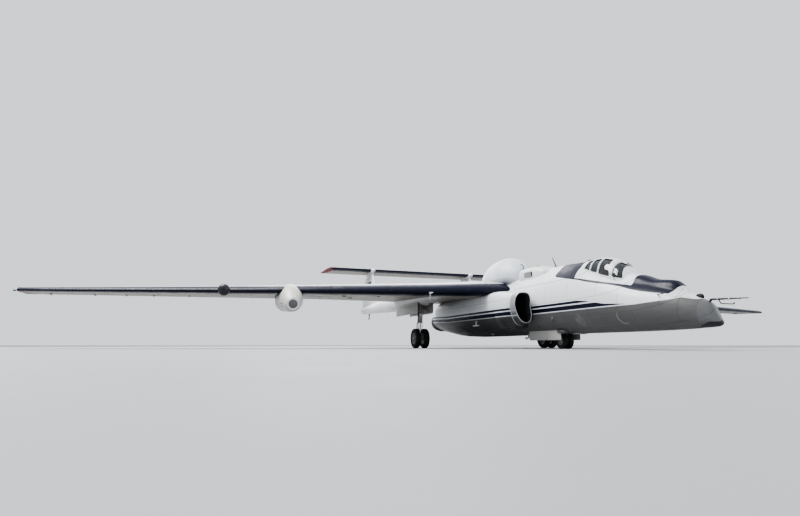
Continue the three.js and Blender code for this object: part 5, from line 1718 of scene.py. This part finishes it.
def make_cushions():
    quilted("seat_cushion", (-0.20, 3.37, -0.862), (0.20, 3.80, -0.835), 20, 24, 4, UP, 1.6)
    quilted("back_cushion", (-0.20, 3.815, -0.78), (0.20, 3.965, -0.12), 20, 30, 6, (0, -0.97, 0.22), 1.6)
    quilted("head_cushion", (-0.13, 3.985, -0.04), (0.13, 3.972, 0.17), 14, 12, 2, AHEAD, 1.2)


def make_harness():
    buckle = [(0, 0), (0, 0.038), (0.012, 0.038), (0.018, 0.028), (0.018, 0)]
    shoulder = [(0.07, 3.99, 0.0), (0.075, 3.93, -0.10), (0.085, 3.895, -0.30), (0.09, 3.85, -0.52),
                (0.06, 3.80, -0.70), (0.02, 3.74, -0.79)]
    lap = [(0.20, 3.74, -0.80), (0.14, 3.68, -0.785), (0.03, 3.66, -0.785)]
    parts = [lathe("buckle", buckle, (0, 3.69, -0.79), UP, "steel", 28)]
    for sign in (-1, 1):
        parts.append(ribbon("shoulder", [(sign * x, y, z) for x, y, z in shoulder]))
        parts.append(ribbon("lap", [(sign * x, y, z) for x, y, z in lap], AFT))
    piece(merged("harness", parts))


def dials():
    """The bezels on the panel's face, which leans back from its lower edge."""
    foot_y, foot_z, lean = 2.866, -0.548, 0.034 / 0.353
    turn = math.atan2(0.039, 0.370)
    axis = (0, math.cos(turn), -math.sin(turn))
    spots = [(-0.30, -0.27, 0.048), (-0.18, -0.27, 0.048), (-0.06, -0.26, 0.055), (0.07, -0.26, 0.055),
             (0.19, -0.27, 0.048), (0.31, -0.27, 0.048), (-0.31, -0.38, 0.04), (-0.20, -0.39, 0.05),
             (-0.07, -0.39, 0.055), (0.07, -0.39, 0.055), (0.20, -0.39, 0.05), (0.31, -0.38, 0.04),
             (-0.28, -0.49, 0.036), (-0.18, -0.50, 0.036), (0.18, -0.50, 0.036), (0.28, -0.49, 0.036)]
    parts = []
    for x, z, r in spots:
        bezel = [(0, r * 0.8), (0, r), (0.008, r), (0.011, r * 0.93), (0.004, r * 0.82), (0.003, 0), (0, 0)]
        parts.append(lathe("bezel", bezel, (x, foot_y + (z - foot_z) * lean, z), axis, "steel", 28))
    return parts


def make_panel():
    """The instrument panel with its hood, the pedestal, and a console with switches on either side."""
    back = [(2.765, -0.52), (2.85, -0.556), (2.888, -0.19), (2.785, -0.155)]
    face = [(2.857, -0.548), (2.866, -0.548), (2.9, -0.195), (2.891, -0.195)]
    hood = [(2.725, -0.10), (2.95, -0.12), (2.955, -0.135), (2.93, -0.16), (2.79, -0.15), (2.725, -0.14)]
    knob = [(0, 0), (0, 0.016), (0.02, 0.014), (0.022, 0)]
    switch = [(0, 0), (0, 0.007), (0.02, 0.006), (0.022, 0)]
    throttle = [(0.38, 3.40, -0.72), (0.38, 3.37, -0.62), (0.38, 3.36, -0.585)]
    parts = [prism("panel_box", rounded(back, 0.015), -0.398, 0.398, "cockpit", 0.004),
             prism("panel_face", face, -0.385, 0.385, "panel"),
             *dials(),
             prism("glareshield", hood, -0.41, 0.41, "black", 0.004),
             box("pedestal", (-0.108, 2.785, SEAT_FLOOR), (0.108, 2.895, -0.53), "cockpit", 0.008),
             tube("throttle", throttle, [0.010, 0.010, 0.024], "black", 14)]
    for x in (-0.06, 0, 0.06):
        parts.append(lathe("knob", knob, (x, 2.895, -0.68), (0, 1, 0.1), "black", 16))
    for sign in (-1, 1):
        console = (sign * 0.30, 3.0, SEAT_FLOOR), (sign * 0.52, 3.95, -0.72)
        parts.append(box("console", *console, "cockpit", 0.012))
        for k in range(10):
            place = (sign * (0.34 + 0.07 * (k % 2)), 3.08 + 0.085 * k, -0.722)
            parts.append(lathe("switch", switch, place, (0, 0.2, 1), "steel", 10))
    piece(merged("instrument_panel_fine", parts), "airframe", ["instrument_panel"])


def make_stick():
    """The control stick: a rubber boot, the stick, its grip and a button."""
    y, floor = 3.19, SEAT_FLOOR
    boot = [(0, 0), (0, 0.058), (0.012, 0.058), (0.018, 0.050), (0.030, 0.052), (0.036, 0.042),
            (0.048, 0.044), (0.056, 0.030), (0.075, 0.022), (0.075, 0)]
    stick = [(0, y, floor + 0.04), (0, 3.20, -0.95), (0, 3.185, -0.80), (0, 3.165, -0.72)]
    grip = [(0, 3.168, -0.755), (0, 3.164, -0.74), (0, 3.158, -0.70), (0, 3.152, -0.66), (0, 3.150, -0.642)]
    button = [(0, 0), (0, 0.005), (0.008, 0.005), (0.009, 0)]
    parts = [lathe("boot", boot, (0, y, floor), UP, "tyre", 32),
             bent_tube("stick", stick, 0.0125, "steel", 16),
             tube("grip", grip, [0.013, 0.0175, 0.0165, 0.0175, 0.010], "black"),
             lathe("button", button, (0, 3.137, -0.665), (0, -1, 0.2), "red_glass", 12)]
    piece(merged("control_stick_fine", parts), "airframe", ["control_stick"])


make_seat()
make_cushions()
make_harness()
make_panel()
make_stick()


# Small fittings on the skin

def ball(name, centre, radius, look, squash=(1, 1, 1), count=20):
    x, y, z = centre
    rx, ry, rz = (radius * share for share in squash)
    rings = []
    for k in range(1, count):
        out, up = math.sin(math.pi * k / count), -math.cos(math.pi * k / count)
        rings.append([(x + rx * out * c, y + ry * out * s, z + rz * up) for c, s in circle(28)])
    return loft(name, rings, look, ((x, y, z - rz), (x, y, z + rz)), sharp=60)


def blade(name, base, height, chord, thick, lean, axis=UP):
    """A blade aerial: a thin tapering fin that leans back, standing along an axis."""
    up = Vector(axis)
    side = up.cross(Vector(AFT))
    rings = []
    for share, size in ((0, 1), (0.3, 0.895), (0.6, 0.79), (0.85, 0.7025), (0.97, 0.5805), (1.0, 0.40)):
        centre = Vector(base) + up * height * share + Vector(AFT) * lean * share
        long, wide = Vector(AFT) * chord / 2 * size, side * thick / 2 * size
        rings.append([tuple(centre + long * c + wide * s) for c, s in circle(16)])
    return loft(name, rings, "white")


def port(place, normal, radius, ring=0.25):
    """A round port: a raised ring with a dark well in it."""
    edge, lip = radius * (1 + ring), radius * (1 + ring * 0.6)
    well = [(-0.01, 0), (-0.01, edge), (0.006, edge), (0.008, lip), (0.004, radius),
            (-0.004, radius * 0.95), (-0.004, 0)]
    return lathe("port", well, place, normal, "black", 28)


TREES = {}


def touch(obj, origin, direction):
    """Where a line from `origin` first meets the piece: the point and the outward normal."""
    if obj.name not in TREES:
        corners = [v.co for v in obj.data.vertices]
        TREES[obj.name] = BVHTree.FromPolygons(corners, [tuple(p.vertices) for p in obj.data.polygons])
    direction = Vector(direction).normalized()
    place, normal, _, _ = TREES[obj.name].ray_cast(Vector(origin) + DATUM, direction)
    if place is None:
        return None
    if normal.dot(direction) > 0:
        normal = -normal
    return tuple(place - DATUM), tuple(normal)


def make_nose_probe():
    """The air data boom on the nose: a foot, a stepped tube with rings, and a second probe under it."""
    foot = [(0, 0.345, -1.16), (0, 0.30, -1.115), (0, 0.255, -1.06), (0, 0.215, -1.02)]
    line = [(0.262, -1.020, 0.012), (0.20, -1.023, 0.024), (-0.10, -1.038, 0.0225),
            (-0.12, -1.039, 0.019), (-0.30, -1.049, 0.0185), (-0.32, -1.050, 0.0165),
            (-0.50, -1.059, 0.016), (-0.52, -1.060, 0.0125), (-0.66, -1.067, 0.0115), (-0.708, -1.070, 0.003)]
    ring = [(-0.008, 0.018), (-0.008, 0.026), (0.008, 0.026), (0.008, 0.018)]
    second = [(0, 0.04, -1.03), (0, -0.01, -1.13), (0, -0.06, -1.15), (0, -0.31, -1.179),
              (0, -0.335, -1.17), (0, -0.345, -1.142)]
    parts = [tube("foot", foot, [0.038, 0.034, 0.028, 0.026], "dark_cap", 24),
             tube("tube", [(0, y, z) for y, z, _ in line], [r for _, _, r in line], "dark_cap", 24),
             bent_tube("second_probe", second, 0.0125, "dark_cap", 16)]
    for y in (0.05, -0.24, -0.47):
        place = (0, y, -1.020 + (y - 0.262) * 0.0515)
        parts.append(lathe("ring", ring, place, (0, 1, 0.05), "steel", 24))
    piece(merged("nose_probe_fine", parts), "airframe", ["nose_probe"])


def make_nose_fittings():
    """A bump in front of the deck, and a pitot head and an angle vane on either side."""
    pitot = [(0.50, 1.30, -0.84), (0.57, 1.27, -0.82), (0.60, 1.20, -0.815), (0.60, 1.05, -0.815)]
    vane = [(0, 0), (0, 0.045), (0.008, 0.043), (0.010, 0.02), (0.03, 0.016), (0.032, 0)]
    parts = [ball("bump", (0, 0.52, -0.93), 0.09, "black", (0.5, 1.3, 0.9))]
    for sign in (-1, 1):
        parts.append(bent_tube("pitot", [(sign * x, y, z) for x, y, z in pitot], 0.011, "dark_cap", 12))
        parts.append(lathe("vane", vane, (sign * 0.655, 1.75, -1.02), (sign, 0, 0), "steel", 24))
    piece(merged("nose_fittings", parts))


def make_belly_fittings():
    """Under the fuselage and the engine body: a ball, a blister, a camera window, ports and a drain."""
    parts = [ball("side_ball", (-0.715, 5.60, -1.24), 0.075, "fuselage", (0.6, 1, 1)),
             ball("blister", (-0.35, 5.57, -1.665), 0.17, "fuselage", (0.9, 1.5, 0.5)),
             ball("drain_fitting", (-0.66, 9.82, -1.665), 0.06, "steel", (1, 1.6, 0.9))]
    window = plate(-0.09, 4.98, 0.22, 5.38, 0.05)
    parts.append(prism("window_rim", window, -1.762, -1.735, "white", 0.005, axis=2))
    pane = plate(-0.055, 5.015, 0.185, 5.345, 0.04)
    parts.append(prism("window", pane, -1.766, -1.74, "sensor_glass", 0.003, axis=2))
    skins = [bpy.data.objects["fuselage_skin"], bpy.data.objects["engine_skin"]]
    for x, y, radius in (
        (-0.565, 6.63, 0.035), (-1.21, 7.65, 0.04), (-1.24, 10.5, 0.045), (-0.06, 9.74, 0.04),
        (-1.28, 11.2, 0.035), (-0.30, 12.6, 0.05), (0.45, 10.4, 0.04), (0.8, 8.9, 0.035),
    ):
        parts.append(port(*touch(skins[y > 7.0], (x, y, -3), UP), radius))
    piece(merged("belly_ports", parts))


def make_side_mast():
    bar = [(-1.52, 10.02, -1.325), (-1.50, 9.98, -1.325), (-1.50, 9.52, -1.325), (-1.50, 9.48, -1.325)]
    parts = [tube("mast", [(-1.44, 9.80, -1.10), (-1.50, 9.76, -1.30)], [0.035, 0.028], "white"),
             tube("bar", bar, [0.014, 0.034, 0.030, 0.012], "white")]
    piece(merged("side_mast_aerial", parts))


def make_scoop_and_beacon():
    scoop = [(-0.19, 7.88, -1.60), (-0.17, 7.92, -1.82), (-0.10, 8.10, -1.86), (0.02, 8.40, -1.86),
             (0.11, 8.52, -1.84)]
    base = [(0, 0), (0, 0.09), (0.05, 0.085), (0.06, 0.07), (0.06, 0)]
    parts = [bent_tube("scoop", scoop, 0.034, "white", 16),
             ball("beacon", (0.04, 7.96, -1.80), 0.085, "clear_glass", (1, 1.1, 1)),
             lathe("beacon_base", base, (0.04, 7.96, -1.735), DOWN, "steel", 32)]
    piece(merged("belly_scoop_and_beacon", parts))


def make_top_fittings():
    """On the spine, the dome and the wing root: aerials, a hook, a beacon, and a grille on either side."""
    rod = [(0, 6.15, 0.66), (0, 6.27, 0.90), (0, 6.39, 1.11)]
    loop = [(-0.14, 8.16, 0.86), (-0.14, 8.10, 1.00), (-0.14, 8.16, 1.10), (-0.14, 8.30, 1.14)]
    hook = [(-1.32, 8.92, 0.04), (-1.34, 8.86, 0.20), (-1.36, 8.90, 0.34), (-1.38, 9.06, 0.42),
            (-1.40, 9.14, 0.38)]
    foot = [(0, 0), (0, 0.05), (0.02, 0.045), (0.03, 0.025), (0.03, 0)]
    parts = [blade("spine_blade", (0, 5.25, 0.64), 0.30, 0.22, 0.024, 0.14),
             tube("rod_aerial", rod, [0.022, 0.016, 0.010], "black", 12),
             bent_tube("dome_aerial", loop, 0.014, "black", 12),
             bent_tube("root_hook", hook, [0.022] * 24 + [0.018], "black", 14),
             lathe("root_hook_foot", foot, (-1.32, 8.92, 0.035), UP, "black", 24),
             ball("top_beacon", (0, 7.3, 0.875), 0.07, "red_glass", (1, 1.3, 1))]
    grille = plate(7.0, 0.46, 7.5, 0.64, 0.03)
    for sign in (-1, 1):
        parts.append(prism("grille", grille, sign * 0.505, sign * 0.52, "black", 0.003))
        for z in (0.475 + k * 0.027 for k in range(6)):
            low, high = (sign * 0.512, 7.03, z), (sign * 0.528, 7.47, z + 0.010)
            parts.append(box("louvre", low, high, "equipment", 0.002))
    piece(merged("top_fittings", parts))


def make_wing_brackets(side, sign):
    """The aileron's hinge brackets under the outer wing, on its skin."""
    parts = []
    wing = bpy.data.objects[f"outer_wing_{side}"]
    for x, y in ((12.97, 12.62), (14.28, 12.65), (15.25, 12.68), (16.34, 12.71), (17.80, 12.75)):
        z = touch(wing, (sign * x, y - 0.12, -2), UP)[0][2]
        fairing = [(y - 0.22, z + 0.02), (y - 0.05, z - 0.05), (y + 0.09, z - 0.055), (y + 0.16, z - 0.01),
                   (y + 0.02, z + 0.02)]
        start, end = sign * (x - 0.016), sign * (x + 0.016)
        parts.append(prism("bracket", rounded(fairing, 0.03), start, end, "wing", 0.004))
    piece(merged(f"wing_brackets_{side}", parts))


def make_wing_ports(side, sign):
    """Under each wing: a pitot head and a bar on the leading edge, oval ports and round caps."""
    x = sign * 3.86
    pitot = [(x, 9.14, -0.06), (x, 9.05, -0.09), (x, 8.90, -0.10), (x, 8.76, -0.10)]
    cap = [(0, 0), (0, 0.035), (0.008, 0.033), (0.012, 0.012), (0.012, 0)]
    parts = [tube("pitot", pitot, [0.05, 0.042, 0.030, 0.018], "white"),
             blade("edge_bar", (x, 9.05, -0.10), 0.24, 0.10, 0.022, 0.03, DOWN),
             port((sign * 3.31, 10.31, -0.408), (0, 0.03, -1), 0.075, 0.35)]
    ovals = ((7.03, 10.48, -0.172, 0.10), (6.54, 11.62, -0.128, 0.09), (5.64, 10.27, -0.172, 0.05))
    for x, y, z, half in ovals:
        oval = [(sign * x + half * c, y + 0.5 * half * s) for c, s in circle(28)]
        parts.append(prism("oval_port", oval, z - 0.018, z + 0.03, "black", 0.004, axis=2))
    for x, y, z in ((3.77, 12.39, -0.081), (7.9, 11.2, -0.156), (10.6, 11.5, -0.186), (14.0, 11.8, -0.196)):
        parts.append(lathe("access_cap", cap, (sign * x, y, z), DOWN, "black", 20))
    piece(merged(f"wing_ports_{side}", parts))


def make_wicks(side, sign):
    """Static wicks on the trailing edges near the tips."""
    places = [(5.62, 21.96, 2.45, 0.14), (5.78, 21.96, 2.45, 0.14)]
    for x in (18.1, 18.3, 18.45):
        # the trailing edge runs forward and down outboard of the wing's bend
        out = x - WING_BEND
        places.append((x, 13.39 - out * 0.0284, -0.105 - out * 0.0157, 0.12))
    parts = []
    for x, y, z, length in places:
        line = [(sign * x, y, z), (sign * x, y + length, z)]
        parts.append(tube("wick", line, [0.006, 0.003], "black", 8))
    piece(merged(f"static_wicks_{side}", parts))


def make_wing_fittings():
    for side, sign in SIDES.items():
        make_wing_brackets(side, sign)
        make_wing_ports(side, sign)
        tint = "red_glass" if side == "port" else "green_glass"
        place = (sign * 18.62, 11.86, -0.215)
        piece(ball(f"position_lamp_{side}", place, 0.05, tint, (0.8, 2.2, 0.7)))
        make_wicks(side, sign)


def make_pod_fittings():
    """On each pod: the dark seam where the wing crosses it, and two slots behind the window."""
    for side, sign in SIDES.items():
        wing, pod = bpy.data.objects[f"outer_wing_{side}"], bpy.data.objects[f"pod_skin_{side}"]
        parts = []
        for out in (-1, 1):
            path = []
            x = sign * POD_X + out * 0.475
            for y in np.arange(10.45, 13.05, 0.1):
                under = touch(wing, (x, y, -2), UP)
                beside = touch(pod, (x + out, y, under[0][2] - 0.03), (-out, 0, 0)) if under else None
                if beside:
                    path.append(beside[0])
            parts.append(tube("seam", path, 0.024, "black", 8))
        for y, z in ((9.80, -0.60), (9.90, -0.70)):
            line = [touch(pod, (sign * POD_X - 2, y + k * 0.04, z + k * 0.005), PORT)[0] for k in range(5)]
            parts.append(tube("slot", line, 0.011, "black", 8))
        piece(merged(f"pod_fittings_{side}", parts))


def make_boom_fittings():
    """The bar aerial under the starboard boom, and the drains under both."""
    leg = [(-BOOM_X, 20.40, -0.18), (-BOOM_X, 20.45, -0.36), (-BOOM_X, 20.49, -0.50)]
    bar = [(-BOOM_X, 20.34, -0.52), (-BOOM_X, 20.37, -0.52), (-BOOM_X, 20.61, -0.515),
           (-BOOM_X, 20.64, -0.515)]
    drain = [(-0.02, 0), (-0.02, 0.02), (0.01, 0.018), (0.016, 0)]
    parts = [tube("leg", leg, [0.034, 0.028, 0.024], "black", 16),
             tube("bar", bar, [0.012, 0.028, 0.028, 0.012], "black", 16)]
    piece(merged("tail_bar_aerial", parts))
    for side, sign in SIDES.items():
        boom = bpy.data.objects[f"boom_skin_{side}"]
        places = [touch(boom, (sign * BOOM_X, y, -2), UP)[0] for y in (14.6, 16.4, 18.4)]
        parts = [lathe("drain", drain, place, DOWN, "black", 16) for place in places]
        piece(merged(f"boom_fittings_{side}", parts))


make_nose_probe()
make_nose_fittings()
make_belly_fittings()
make_side_mast()
make_scoop_and_beacon()
make_top_fittings()
make_wing_fittings()
make_pod_fittings()
make_boom_fittings()


# Stage

def floor_look():
    nodes = Nodes("studio_floor")
    cloud = nodes.spread(nodes.noise(0.05, 3), 0.3, 0.7)
    color = nodes.mix(cloud, (0.43, 0.435, 0.445), (0.38, 0.385, 0.395))
    rough = nodes.spread(nodes.noise(2.0, 4), 0.3, 0.7, 0.55, 0.7)
    return nodes.finish(color, rough, normal=nodes.bump(nodes.noise(30.0, 2), 0.0005, 0.3))


def aimed(name, data, place, target):
    """Puts a lamp or a camera in the scene, turned to a target."""
    obj = bpy.data.objects.new(name, data)
    obj.location = place
    obj.rotation_euler = (Vector(target) - Vector(place)).to_track_quat("-Z", "Y").to_euler()
    bpy.context.scene.collection.objects.link(obj)
    return obj


def make_stage():
    LOOKS["floor"] = floor_look()
    reach = 400
    floor = box("studio_floor", (-reach, -reach, FLOOR - 0.2), (reach, reach, FLOOR), "floor")
    world = bpy.data.worlds.new("sky")
    bpy.context.scene.world = world
    world.use_nodes = True
    back = world.node_tree.nodes["Background"]
    back.inputs["Color"].default_value = (0.86, 0.89, 0.93, 1)
    back.inputs["Strength"].default_value = 0.84
    for name, place, size, power, tint in (
        ("key", (-24, 6, 40), 26, 21000, (1.0, 0.98, 0.95)),
        ("fill", (34, -24, 20), 34, 5500, (0.92, 0.96, 1.0)),
        ("rim", (6, 44, 24), 34, 6500, (1.0, 1.0, 1.0)),
    ):
        light = bpy.data.lights.new(name, "AREA")
        light.size = size
        light.energy = power
        light.color = tint
        aimed(name, light, place, (0, 0, 2))


def make_camera():
    """Close to the floor, ahead of the starboard wing, as the photograph looks up at the underside."""
    camera = bpy.data.cameras.new("camera")
    camera.lens = 21.4
    camera.sensor_width = 36
    camera.clip_end = 1000
    place, target = (-11.0, -19.5, 0.12), (-4.45, 0.0, 3.9)
    bpy.context.scene.camera = aimed("camera", camera, place, target)


make_stage()
make_camera()
scene = bpy.context.scene
scene.view_settings.view_transform = "AgX"
scene.view_settings.look = "AgX - High Contrast"
scene.view_settings.exposure = 0.0
